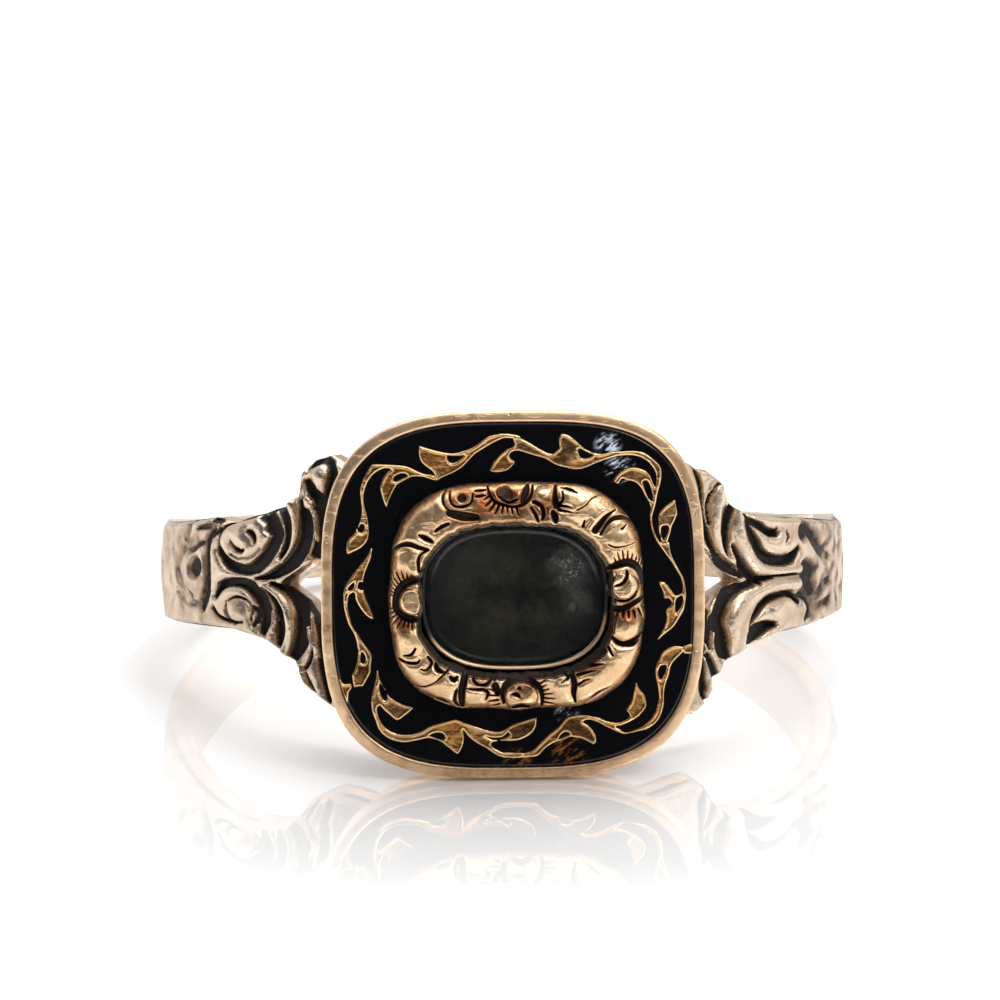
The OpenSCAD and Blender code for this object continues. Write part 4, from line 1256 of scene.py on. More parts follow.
RIGHT_MOTIFS = chased(
    Form.CUT,
    (0.85, (37.3, 2.76, 0.03), (35.8, 2.79, 0.04), (34.7, 2.58, 0.05), (34.0, 2.29, 0.06),
     (34.1, 1.99, 0.05), (34.5, 1.68, 0.05)),
    (0.95, (32.6, 2.81, 0.07), (32.9, 2.15, 0.08), (33.5, 1.69, 0.1), (34.3, 1.23, 0.12),
     (35.8, 0.86, 0.1), (38.5, 0.48, 0.09), (41.7, 0.17, 0.07)),
    (0.97, (39.0, 2.1, 0.12), (37.8, 1.75, 0.17), (37.6, 1.35, 0.17), (37.9, 0.99, 0.11),
     (38.3, 0.78, 0.05)),
    (0.95, (39.3, 1.03, 0.07), (40.5, 0.66, 0.11), (42.1, 0.34, 0.12), (43.8, 0.11, 0.1),
     (45.4, -0.02, 0.09)),
    (0.97, (43.2, 1.8, 0.11), (43.6, 1.49, 0.12), (44.9, 1.07, 0.18), (46.1, 0.75, 0.18),
     (48.6, 0.56, 0.16), (52.2, 0.49, 0.15), (55.3, 0.59, 0.16), (56.6, 0.79, 0.1)),
    (0.95, (43.6, 1.72, 0.09), (46.1, 1.52, 0.11), (47.9, 1.35, 0.12), (49.9, 1.28, 0.11),
     (50.1, 1.4, 0.07)),
    (0.6, (42.1, 1.92, 0.04), (42.5, 1.5, 0.04), (43.4, 1.14, 0.04)),
    (0.85, (43.8, 0.03, 0.11), (47.4, 0.06, 0.06), (51.4, 0.09, 0.03), (56.4, 0.07, 0.02)),
    (0.55, (59.5, -0.02, 0.37), (59.9, -0.24, 0.37)),
    (0.45, (56.9, 1.22, 0.11), (58.9, 1.36, 0.08), (61.1, 1.08, 0.15), (62.5, 0.86, 0.15),
     (65.6, 0.57, 0.16), (68.6, 0.43, 0.11)),
    (0.97, (43.9, -0.05, 0.08), (40.9, -0.16, 0.1), (38.5, -0.39, 0.14), (36.9, -0.71, 0.21),
     (36.0, -1.08, 0.29), (36.3, -1.49, 0.29), (37.3, -1.86, 0.19), (38.6, -2.07, 0.09)),
    (0.9, (56.6, -0.71, 0.11), (53.6, -0.47, 0.09), (49.8, -0.48, 0.1), (46.9, -0.6, 0.12),
     (45.0, -0.87, 0.12), (43.8, -1.14, 0.09), (43.4, -1.39, 0.06)),
    (0.97, (49.9, -1.28, 0.07), (47.4, -1.31, 0.18), (45.1, -1.45, 0.23), (43.8, -1.67, 0.22),
     (43.8, -1.88, 0.13)),
    (0.6, (56.4, -0.5, 0.08), (58.9, -0.64, 0.09), (60.3, -0.99, 0.12), (58.8, -1.25, 0.08)),
    (0.4, (63.1, -0.64, 0.12), (65.6, -0.36, 0.12), (69.4, -0.26, 0.09)),
    (0.35, (63.1, -0.95, 0.09), (68.3, -0.82, 0.09)),
    (0.9, (34.2, -1.98, 0.11), (35.1, -2.29, 0.15), (35.8, -2.66, 0.16), (35.6, -2.91, 0.11)),
    (0.85, (33.1, -1.51, 0.11), (33.0, -2.27, 0.12), (33.1, -2.88, 0.14)),
    (0.5, (51.9, 0.99, 0.05), (53.3, 1.13, 0.07), (52.5, 1.3, 0.05)),
    (0.95, (34.2, -0.72, 0.1), (33.9, -1.13, 0.14), (34.2, -1.48, 0.14), (34.8, -1.77, 0.08)),
    (0.9, (32.6, -2.68, 0.08), (32.9, -2.99, 0.11), (33.6, -3.25, 0.08)),
    (0.8, (31.2, 3.31, 0.06), (32.2, 2.97, 0.08), (32.7, 2.67, 0.08), (32.9, 2.31, 0.06)),
    (0.4, (58.3, 1.25, 0.23)), (0.35, (66.5, 0.53, 0.25)), (0.35, (61.6, -0.93, 0.25)),
) + chased(
    Form.SWELL,
    (0.7, (50.5, 1.0, 0.45)), (0.7, (50.0, -0.95, 0.4)),
    (1.0, (35.8, 2.6, 0.3), (36.3, 1.6, 0.35), (39.3, 0.64, 0.25)),
    (1.0, (39.8, 2.0, 0.2), (41.2, 1.1, 0.25), (46.0, 0.3, 0.25), (56.0, 0.2, 0.2)),
    (1.0, (38.4, -1.7, 0.3), (40.3, -0.8, 0.4), (46.0, -0.25, 0.3), (56.0, -0.2, 0.2)),
) + chased(
    Form.ROLL,
    (0.7, (35.6, -1.34, 0.03), (35.1, -1.64, 0.04), (35.6, -1.95, 0.04), (36.8, -2.22, 0.03)),
)


@dataclass(frozen=True)
class Band:
    """One shoulder, split into two branches near the head, with its half of the plain hoop. Skin,
    wall and bore count the points of a section. The pairs are angles in degrees from the middle
    of the head, between which something sets in or ends."""

    side: Side
    edges: Edges
    motifs: tuple[Motif, ...]
    split: float
    bore_r: float = 9.0
    head_clearance: float = 0.02
    ground_r: float = 9.55
    chasing: float = 0.5
    hoop_r: float = 9.85
    hoop_half: Points = ((0.0, 1.35), (4.95, 1.0), (9.85, 0.95))
    crown: float = 0.2
    arc_r: float = 9.8
    stain_and_shade: float = 0.22
    skin: int = 52
    wall: int = 4
    bore: int = 7
    pitch: float = 0.16
    worked: tuple[float, float] = (26.0, 78.0)
    leaving_head: tuple[float, float] = (27.5, 31.0)
    blurring: tuple[float, float] = (56.0, 64.0)
    fading: tuple[float, float] = (58.0, 76.0)
    smoothing: tuple[float, float] = (76.0, 90.0)
    staining_and_shading: tuple[float, float] = (50.0, 62.0)
    clearing: tuple[float, float] = (88.0, 104.0)

    @property
    def last_bore(self) -> int:
        """Column of a section's last point on the bore."""
        return self.skin + self.wall + self.bore - 1

    def angles(self) -> Array:
        """Angles of the rows: wide steps inside the head and over the plain hoop, 0.16 degrees
        over the chasing, one row exactly at the split, and one close to the end, which keeps the
        shading of the end face off the hoop.

        Returns:
            Angles in degrees, rising.
        """
        first, last = self.worked
        worked, plain = np.arange(first, last, self.pitch), np.linspace(last, 180.0, 103)
        hidden = np.linspace(18.0, first - 0.5, 6)
        rows = np.concatenate([hidden, worked, plain[:-1], [179.97, 180.0]])
        return np.sort(np.append(rows[np.abs(rows - self.split) > 0.05], self.split))

    def outer_edge(self, angle: Array, rows: Points) -> Array:
        """Outer edge: the chased outline, then the hoop, which narrows in straight lines by its
        distance behind the finger hole's middle.

        Args:
            angle: angles of the rows.
            rows: table of the chased outline.

        Returns:
            Height of the edge at each angle.
        """
        behind = np.maximum(-self.hoop_r * np.cos(np.radians(angle)), 0.0)
        hoop = read_rows(behind, self.hoop_half)
        return np.where(angle > 90.0, hoop, read_rows(angle, rows))

    def skin_grid(self, angle: Array) -> tuple[Array, Array]:
        """Heights z over both halves, in even steps between the edges of the gap and the outer
        edges; past the split both halves start at the middle.

        Args:
            angle: angles of the rows.

        Returns:
            z of the lower half and of the upper half, each from the gap to the outer edge.
        """
        v = np.linspace(0.0, 1.0, self.skin)[None, :]
        edges, halves = self.edges, []
        for sign, outer, inner in (
            (-1, edges.lower, edges.gap_lower), (1, edges.upper, edges.gap_upper)
        ):
            high = self.outer_edge(angle, outer)[:, None]
            low = np.where(angle < self.split, read_rows(angle, inner), 0.0)[:, None]
            halves.append(sign * (low + v * (high - low)))
        return halves[0], halves[1]

    @staticmethod
    def widening(form: Form, angle: float) -> float:
        """Factor on the width of a cut: wider in the middle of the chasing and at its end.

        Args:
            form: cross-section of the form.
            angle: place of the point in degrees.

        Returns:
            The factor.
        """
        if form is not Form.CUT:
            return 1.0
        return 1.2 if 36 < angle < 47 else 1.5 if angle > 57 else 1.0

    def radius(self, angle: Array, z: Array, rim: Array) -> tuple[Array, WearAndShade]:
        """Radius of the skin: ground + chasing * height, where the height is a surface that swells,
        falls into the cuts and is softened beside them; rounded off towards its edges, and the
        plain crown r = 9.85 - 0.2 (2 z / 2.7)^2 past the chasing. The oxide fades there too, and a
        veil of slanting stains lies over it; where the veil is heavier, as on the right band, the
        extra darkness is painted shade.

        Args:
            angle: angles as a column.
            z: heights of the grid.
            rim: distance of each point to the nearest edge in millimetres.

        Returns:
            The radius and the masks of wear, which carry painted shade where the veil is heavier.
        """
        arc = self.arc_r * np.radians(angle) + 0.0 * z
        scale = self.arc_r * math.pi / 180
        laid = tuple(
            Motif(m.form, m.height,
                  tuple((a * scale, b, w * self.widening(m.form, a)) for a, b, w in m.points))
            for m in self.motifs
        )
        raised, cut = chase(arc, z, laid)
        rolls = chase(arc, z, tuple(m for m in laid if m.form is Form.ROLL))[0]
        cut = cut * (1 - ease(0.0, 0.35, rolls)) * (1 - 0.5 * ease(*self.blurring, angle))
        soft = soften(soften(1 - cut, 5, 0), 3, 1)
        height = (0.74 + 0.26 * raised) * (1 - cut) * (0.45 + 0.55 * soft)
        height = height + 0.025 * mottle(arc, z, 0.3, 6) + 0.012 * mottle(arc, z, 0.1, 7)
        height = height * (0.6 + 0.4 * ease(0.0, 0.12, rim))
        wear_and_shade = WearAndShade.of(height, 0.2, (8, 7), False, 0.9 * cut)
        round_off = 0.13 * (1 - ease(0.0, 0.14, rim))
        worked = self.ground_r + self.chasing * np.clip(height, -0.1, 1.0) - round_off
        plain = self.hoop_r - self.crown * (2 * z / 2.7) ** 2 - 0.05 * (1 - ease(0.0, 0.1, rim))
        smooth = ease(*self.smoothing, angle)
        radius = worked + (plain - worked) * smooth
        fade = 1 - ease(*self.fading, angle)
        # Slanting stains on the hoop ends; where the veil is heavier, as on the right, the extra
        # darkness is painted shade.
        stain_and_shade = self.stain_and_shade * ease(*self.staining_and_shading, angle) * (1 - ease(*self.clearing, angle))
        brown_blotch = mottle(0.82 * arc + 0.57 * z, 0.82 * z - 0.57 * arc, 0.27, 8)
        oxide = wear_and_shade.oxide * (0.35 + 0.65 * fade) * (1 - smooth) + stain_and_shade * (1 + 0.7 * brown_blotch)
        return radius, WearAndShade(oxide, wear_and_shade.polish * (1 - smooth))

    def sections(
        self, column: Array, z: Array, radius: Array, wear_and_shade: WearAndShade
    ) -> tuple[Array, Array, Array]:
        """Sections of one half: over its skin, down the outer wall, back along the bore and up the
        gap's wall, in even steps. The bore lies a hair deeper inside the head.

        Args:
            column: angles as a column.
            z: heights of the skin, from the gap to the outer edge.
            radius: radii of the skin.
            wear_and_shade: wear of the skin, with the painted shade of a heavier veil.

        Returns:
            Points, oxide and polish, one row per section.
        """
        bore_r = self.bore_r + self.head_clearance * (1 - ease(*self.leaving_head, column))
        outer, inner = z[:, -1:], z[:, :1]
        drop = np.linspace(0.0, 1.0, self.wall + 1)[None, 1:]
        wall_r = radius[:, -1:] + drop * (bore_r + 0.04 - radius[:, -1:])
        bore_z = outer + np.linspace(0.03, 1.0, self.bore)[None, :] * (inner - outer)
        rise = np.linspace(0.0, 1.0, self.wall + 2)[None, 1:-1]
        gap_r = bore_r + rise * (radius[:, :1] - bore_r)
        r = np.hstack([radius, wall_r, bore_r + 0 * bore_z, gap_r])
        heights = np.hstack([z, outer + 0 * wall_r, bore_z, inner + 0 * gap_r])
        turn = np.radians(column)
        x = self.side.value * r * np.sin(turn)
        dark, shine = np.zeros((2, len(column), heights.shape[1] - self.skin))
        dark[:, :self.wall] = 0.25 * (1 - ease(74.0, 84.0, column))
        dark[:, self.wall + self.bore:] = 0.35
        shine[:, self.wall:self.wall + self.bore] = 1.0
        points = np.stack([x, -r * np.cos(turn), heights], axis=-1)
        return points, np.hstack([wear_and_shade.oxide, dark]), np.hstack([wear_and_shade.polish, shine])

    def faces(self, up: Array, down: Array, seam: int) -> Array:
        """Quads between neighbouring sections: skin, outer wall and bore all along the band, the
        gap's wall only as far as the split.

        Args:
            up: numbers of the upper half's points, one row per section.
            down: the same for the lower half.
            seam: row of the split.

        Returns:
            Corners of the quads.
        """
        quads = []
        for index, flip in ((up, 1), (down, -1)):
            closed = np.hstack([index, index[:, :1]])
            for part in (closed[:, :self.last_bore + 1], closed[:seam + 1, self.last_bore:]):
                corners = [part[:-1, :-1], part[1:, :-1], part[1:, 1:], part[:-1, 1:]]
                quads.append(np.stack(corners[::flip], axis=-1).reshape(-1, 4))
        return np.vstack(quads)

    @staticmethod
    def fans(points: Array, loops: tuple[tuple[Array, int], ...]) -> tuple[Array, Array]:
        """End faces: each loop of points is joined to its own middle.

        Args:
            points: the points of the band.
            loops: numbers of each loop's points, and 1 or -1 for the way it turns.

        Returns:
            Corners of the triangles, and the middles, which follow the points.
        """
        triangles, middles = [], []
        for loop, flip in loops:
            hub = np.full(len(loop), len(points) + len(middles))
            middles.append(points[loop].mean(axis=0))
            triangles.append(np.stack([loop, np.roll(loop, -1), hub], axis=-1)[:, ::flip])
        return np.vstack(triangles), np.array(middles)

    def shell(self) -> Shell:
        """Both halves, which share their middle points from the split on, closed inside the head
        and at the hoop's back.

        Returns:
            The band.
        """
        angle = self.angles()
        column = angle[:, None]
        lower, upper = self.skin_grid(angle)
        z = np.hstack([lower[:, ::-1], upper])
        rim = np.minimum(np.abs(z - z[:, :1]), np.abs(z[:, -1:] - z))
        gap_rim = np.hstack([np.abs(lower - lower[:, :1])[:, ::-1], np.abs(upper - upper[:, :1])])
        rim = np.where(column < self.split, np.minimum(rim, gap_rim), rim)
        radius, wear_and_shade = self.radius(column, z, rim)
        halves = []
        for half, cols in (
            (upper, slice(self.skin, None)), (lower, slice(self.skin - 1, None, -1))
        ):
            half_wear_and_shade = WearAndShade(wear_and_shade.oxide[:, cols], wear_and_shade.polish[:, cols])
            halves.append(self.sections(column, half, radius[:, cols], half_wear_and_shade))
        points, oxide, polish = (np.stack(both) for both in zip(*halves))
        up, down = np.arange(oxide.size).reshape(oxide.shape)
        seam = int(np.nonzero(angle == self.split)[0][0])
        for k in (0, self.last_bore):
            down[seam:, k] = up[seam:, k]
        down[seam, self.last_bore:] = up[seam, self.last_bore:]
        back = np.concatenate([up[-1, :self.last_bore + 1], down[-1, self.last_bore:0:-1]])
        points = points.reshape(-1, 3)
        ends, middles = self.fans(points, ((up[0], 1), (down[0], -1), (back, -1)))
        bare = np.zeros(len(middles))
        paint = {"oxide": np.append(oxide, bare), "polish": np.append(polish, bare)}
        quads = self.faces(up, down, seam)
        return Shell(np.vstack([points, middles]), quads, ends, paint).packed()


# Finishes


class Graph:
    """Nodes of one finish, or of the world."""

    def __init__(self, owner: bpy.types.Material | bpy.types.World) -> None:
        """Empties the owner's nodes.

        Args:
            owner: material or world that the nodes belong to.
        """
        self.owner = owner
        owner.use_nodes = True
        self.tree = owner.node_tree
        self.tree.nodes.clear()

    @classmethod
    def named(cls, name: str) -> "Graph":
        """Starts a material of that name."""
        return cls(bpy.data.materials.new(name))

    def node(
        self, kind: str, settings: dict[str, Any] | None = None, **sockets: Any
    ) -> bpy.types.Node:
        """Adds a node: its settings first, then its sockets.

        Args:
            kind: type of the node without the prefix ShaderNode.
            settings: attributes of the node.
            sockets: values or links by socket name, with underscores for spaces; s and a number
                pick the socket by its place.

        Returns:
            The node.
        """
        made = self.tree.nodes.new("ShaderNode" + kind)
        for key, value in (settings or {}).items():
            setattr(made, key, value)
        for key, value in sockets.items():
            place = int(key[1:]) if key[1:].isdigit() else key.replace("_", " ")
            if isinstance(value, Value):
                value = value.socket
            if isinstance(value, bpy.types.NodeSocket):
                self.tree.links.new(value, made.inputs[place])
            else:
                made.inputs[place].default_value = value
        return made

    def value(self, node: bpy.types.Node, output: str | int = 0) -> "Value":
        """An output of a node as a value."""
        return Value(self, node.outputs[output])

    def place(self) -> bpy.types.NodeSocket:
        """Object coordinates in metres."""
        return self.node("TexCoord").outputs["Object"]

    def paint(self, key: str) -> "Value":
        """A painted value of the mesh."""
        return self.value(self.node("Attribute", {"attribute_name": key}), "Fac")

    def noise(self, scale: float, detail: float = 3.0, rough: float = 0.55,
              vector: bpy.types.NodeSocket | None = None) -> "Value":
        """Noise from 0 to 1 on object coordinates, with its scale in cells per metre.

        Args:
            scale: cells per metre.
            detail: octaves.
            rough: weight of the finer octaves.
            vector: coordinates; the object's own unless given.

        Returns:
            Values from 0 to 1.
        """
        made = self.node("TexNoise", {"noise_dimensions": "3D"}, Vector=vector or self.place(),
                         Scale=scale, Detail=detail, Roughness=rough)
        return self.value(made, "Fac")

    def step(self, value: "Value", low: float, high: float) -> "Value":
        """Smooth step from 0 at low to 1 at high.

        Args:
            value: what is stepped.
            low: value that gives 0.
            high: value that gives 1.

        Returns:
            The stepped value.
        """
        made = self.node("MapRange", {"interpolation_type": "SMOOTHSTEP"}, Value=value,
                         From_Min=low, From_Max=high, To_Min=0.0, To_Max=1.0)
        return self.value(made, "Result")

    def spot(
        self, at: tuple[float, float], radius: float, core: float = 0.35, level: float = 11.0
    ) -> "Value":
        """A soft round mask about a place of the face, in ring millimetres.

        Args:
            at: x and z of the place.
            radius: where the mask ends.
            core: share of the radius that is full.
            level: distance in front of the finger hole's middle.

        Returns:
            The mask, from 1 in the middle to 0.
        """
        centre = PLACE.place(np.array([at[0], -level, at[1]]))
        gap = self.node("VectorMath", {"operation": "DISTANCE"}, s0=self.place(), s1=tuple(centre))
        return 1 - self.step(self.value(gap, "Value"), core * radius * MM, radius * MM)

    def mix(self, share: "Value | float", a: Any, b: Any) -> bpy.types.NodeSocket:
        """Mixes two colours, given as values or sockets.

        Args:
            share: share of the second colour.
            a: first colour.
            b: second colour.

        Returns:
            The mixed colour.
        """
        made = self.node("Mix", {"data_type": "RGBA"}, s0=share)
        for k, colour in ((6, a), (7, b)):
            if isinstance(colour, bpy.types.NodeSocket):
                self.tree.links.new(colour, made.inputs[k])
            else:
                made.inputs[k].default_value = (*colour, 1.0)
        return made.outputs[2]

    def bump(self, height: "Value", depth: float) -> bpy.types.NodeSocket:
        """Bumps of a depth in metres."""
        return self.node("Bump", None, Strength=1.0, Distance=depth, Height=height).outputs[0]

    def finish(self, shader: bpy.types.NodeSocket, output: str = "OutputMaterial") -> Any:
        """Connects the shader and returns the owner."""
        self.node(output, None, Surface=shader)
        return self.owner


class Value:
    """A number that varies over the surface; arithmetic on it adds Math nodes."""

    def __init__(self, graph: Graph, socket: bpy.types.NodeSocket) -> None:
        """Wraps a socket of a graph."""
        self.graph, self.socket = graph, socket

    def _math(self, operation: str, first: Any, second: Any) -> "Value":
        """Adds a Math node.

        Args:
            operation: operation of the node.
            first: first number.
            second: second number.

        Returns:
            The result.
        """
        return self.graph.value(
            self.graph.node("Math", {"operation": operation}, s0=first, s1=second)
        )

    def __add__(self, other: Any) -> "Value":
        """Sum."""
        return self._math("ADD", self, other)

    def __sub__(self, other: Any) -> "Value":
        """Difference."""
        return self._math("SUBTRACT", self, other)

    def __rsub__(self, other: Any) -> "Value":
        """Difference from a number."""
        return self._math("SUBTRACT", other, self)

    def __mul__(self, other: Any) -> "Value":
        """Product."""
        return self._math("MULTIPLY", self, other)

    __radd__, __rmul__ = __add__, __mul__

    def clipped(self) -> "Value":
        """The value between 0 and 1."""
        return self._math("MINIMUM", self._math("MAXIMUM", self, 0.0), 1.0)


@dataclass(frozen=True)
class WornGold:
    """Old satin gold: brown-black oxide in its recesses, brown painted shade about it, polish on
    its edges, pits, scratches. Its list of shaded places holds places of the frame, as x, z and
    radius in millimetres, painted brown as shade; a leafy gold has dark and bright patches on the
    faces of its leaves and a painted highlight at the lower right of the vine."""

    name: str
    body: Colour = (0.80, 0.52, 0.29)
    shade: Colour = (0.55, 0.31, 0.15)
    bright: Colour = (0.95, 0.72, 0.46)
    brown: Colour = (0.36, 0.155, 0.055)
    oxide: Colour = (0.012, 0.008, 0.006)
    pit_brown: Colour = (0.25, 0.14, 0.07)
    rough: float = 0.34
    pits: float = 1.0
    shaded_places: Points = ()
    leafy: bool = False
    leaf_dark: Colour = (0.10, 0.036, 0.010)
    leaf_gold: Colour = (0.50, 0.21, 0.05)
    glow: Colour = (0.85, 0.44, 0.13)

    def tint(self, g: Graph, cloud: "Value", oxide: "Value") -> bpy.types.NodeSocket:
        """Colour before pits: body and shade in clouds, brown near the oxide as painted shade,
        bright edges, the places painted brown as shade, the leaves with a painted highlight at the
        lower right, and the oxide itself, which in places is painted shade too.

        Args:
            g: nodes of the finish.
            cloud: soft noise.
            oxide: mask of the oxide and of painted shade.

        Returns:
            The colour.
        """
        # Brown beside the oxide is painted shade.
        brown = g.step(g.paint("oxide") + (cloud - 0.5) * 0.5, 0.05, 0.6)
        tint = g.mix(g.step(cloud, 0.35, 0.7) * 0.55, self.body, self.shade)
        tint = g.mix(brown * 0.8, tint, self.brown)
        tint = g.mix((g.paint("polish") * 0.6).clipped(), tint, self.bright)
        # Places of the frame painted brown as shade.
        for x, z, radius in self.shaded_places:
            brown_blotch = g.spot((x, z), radius, 0.45, 11.75) * (0.55 + 0.45 * g.step(cloud, 0.40, 0.58))
            tint = g.mix(brown_blotch * 0.9, tint, self.brown)
        if self.leafy:
            leaf = g.paint("leaf") * (0.6 + 0.4 * g.step(cloud, 0.30, 0.58))
            face = g.mix(g.step(g.noise(420, 2), 0.42, 0.60), self.leaf_dark, self.leaf_gold)
            tint = g.mix(leaf * 0.9, tint, face)
            # Painted highlight: the vine goes bright orange at the lower right.
            tint = g.mix(g.spot((3.3, -2.9), 1.7, 0.2) * 0.6, tint, self.glow)
        return g.mix(oxide, tint, self.oxide)

    def make(self) -> bpy.types.Material:
        """Builds the material.

        Returns:
            The material.
        """
        g = Graph.named(self.name)
        cloud, grain, fine = g.noise(900, 3), g.noise(7000, 4, 0.65), g.noise(26000, 3, 0.6)
        oxide = g.step(g.paint("oxide") + (grain - 0.5) * 0.55, 0.22, 0.72)
        stretch = g.node("Mapping", None, Vector=g.place(), Scale=(1.0, 9.0, 9.0),
                         Rotation=(0.3, 0.5, 0.7)).outputs[0]
        scratch = g.step(g.noise(1500, 2, 0.5, stretch), 0.60, 0.72)
        pit = g.value(g.node("TexVoronoi", None, Vector=g.place(), Scale=5200.0), "Distance")
        pit = (1 - g.step(pit, 0.05, 0.24)) * g.step(g.noise(1600, 2), 0.46, 0.62) * self.pits
        tint = g.mix(pit * 0.55, self.tint(g, cloud, oxide), self.pit_brown)
        rough = self.rough + (grain - 0.5) * 0.25 + oxide * 0.3
        rough = rough - g.paint("polish") * 0.1 + scratch * 0.08
        height = grain * 0.5 + fine * 0.35 - pit * 0.9 - scratch * 0.5
        surface = g.node(
            "BsdfPrincipled", None, Base_Color=tint, Roughness=rough.clipped(),
            Metallic=1 - oxide * 0.85, Normal=g.bump(height, 1.1e-5),
        )
        return g.finish(surface.outputs[0])


@dataclass(frozen=True)
class BlackEnamel:
    """Glossy black enamel, a little wavy, with specks, three places of bluish painted reflection
    with grains of dust, and an amber gleam under the vine at its lower edge, a painted reflection
    of the gold."""

    black: Colour = (0.0035, 0.0035, 0.0048)
    amber: Colour = (0.27, 0.09, 0.016)
    dust_and_reflection: Colour = (0.72, 0.82, 0.97)
    speck: Colour = (0.25, 0.25, 0.27)

    def make(self) -> bpy.types.Material:
        """Builds the material.

        Returns:
            The material.
        """
        g = Graph.named("black_enamel")
        wave, speck = g.noise(700, 2), g.noise(16000, 3, 0.7)
        slant = g.node("Mapping", {"vector_type": "TEXTURE"}, Vector=g.place(),
                       Scale=(1.0, 1.0, 0.28), Rotation=(0.0, -0.55, 0.0)).outputs[0]
        streaks = g.step(g.noise(2300, 5, 0.72, slant), 0.48, 0.60)
        # Painted bluish reflections, streaked and speckled, at three places.
        dusty_reflection_spots = (g.spot((2.62, 4.1), 0.45, 0.1) + g.spot((2.95, 3.45), 0.5, 0.1)
                 + g.spot((1.45, -3.2), 0.42, 0.1) * 0.55)
        dust_and_reflection = (dusty_reflection_spots * streaks * 1.7 + dusty_reflection_spots * 0.2 * g.step(speck, 0.58, 0.66)).clipped()
        # Painted amber reflection of the gold under the vine's lower edge.
        gleam = g.spot((1.45, -4.3), 0.75, 0.2) + g.spot((0.1, -4.62), 0.5)
        gleam = gleam * g.step(g.noise(2100, 4, 0.7, slant), 0.48, 0.62)
        tint = g.mix(gleam.clipped(), self.black, self.amber)
        tint = g.mix(dust_and_reflection, tint, self.dust_and_reflection)
        tint = g.mix(g.step(speck, 0.69, 0.74) * 0.25, tint, self.speck)
        surface = g.node("BsdfPrincipled", None, Base_Color=tint, Specular_IOR_Level=0.45,
                         Roughness=0.07 + 0.06 * wave + dust_and_reflection * 0.4,
                         Normal=g.bump(wave + speck * 0.03, 1.5e-5))
        return g.finish(surface.outputs[0])


@dataclass(frozen=True)
class DarkHair:
    """Matted hair, nearly black, olive brown in the middle and darkening towards the edge as
    painted shade, with a few lighter strands.
    """

    dark: Colour = (0.003, 0.0055, 0.003)
    olive: Colour = (0.066, 0.056, 0.026)
    strand: Colour = (0.004, 0.005, 0.004)
    light: Colour = (0.10, 0.09, 0.07)

    def make(self) -> bpy.types.Material:
        """Builds the material.

        Returns:
            The material.
        """
        g = Graph.named("dark_hair")
        strand, patch = g.noise(4200, 5, 0.7), g.noise(750, 4, 0.6)
        # Painted shade: the olive shows only in the middle, and the hair goes black towards its
        # edge.
        lit_middle = g.spot((-0.1, -0.05), 2.2, 0.15)
        tint = g.mix(g.step(patch, 0.38, 0.62) * lit_middle, self.dark, self.olive)
        tint = g.mix(g.step(strand, 0.42, 0.70) * 0.5, tint, self.strand)
        tint = g.mix(g.step(g.noise(12000, 3, 0.7), 0.62, 0.72) * 0.3, tint, self.light)
        surface = g.node("BsdfPrincipled", None, Base_Color=tint, Roughness=0.7,
                         Normal=g.bump(strand, 4e-5))
        return g.finish(surface.outputs[0])


@dataclass(frozen=True)
class HazyGlass:
    """Clear glass: a mirror by its Fresnel share over a thin haze, with scuffs and grit at the
    right."""

    milk: Colour = (0.36, 0.355, 0.34)
    ior: float = 1.5

    def make(self) -> bpy.types.Material:
        """Builds the material.

        Returns:
            The material.
        """
        g = Graph.named("hazy_glass")
        cloud, speck = g.noise(650, 3), g.noise(13000, 4, 0.75)
        scuffed = g.spot((1.55, 0.75), 0.8, 0.1) + g.spot((1.75, -0.25), 0.6, 0.1) * 0.7
        grit = g.step(g.noise(17000, 4, 0.85), 0.51, 0.59) * g.step(g.noise(3000, 2), 0.40, 0.6)
        scuff = scuffed * (0.06 + grit)
        haze = (0.002 + 0.011 * g.step(cloud, 0.4, 0.75) + 0.018 * g.spot((-1.5, 1.0), 1.3)
                + 0.85 * scuff + 0.03 * g.step(speck, 0.66, 0.74)).clipped()
        milk = g.node("BsdfPrincipled", None, Base_Color=(*self.milk, 1), Roughness=0.6)
        clear = g.node("BsdfTransparent", None)
        body = g.node("MixShader", None, s0=haze, s1=clear.outputs[0], s2=milk.outputs[0])
        gloss = g.node("BsdfGlossy", None, Color=(1, 1, 1, 1), Roughness=0.07)
        mirror = g.node("Fresnel", None, IOR=self.ior)
        both = g.node("MixShader", None, s0=mirror.outputs[0], s1=body.outputs[0],
                      s2=gloss.outputs[0])
        return g.finish(both.outputs[0])


# Stage


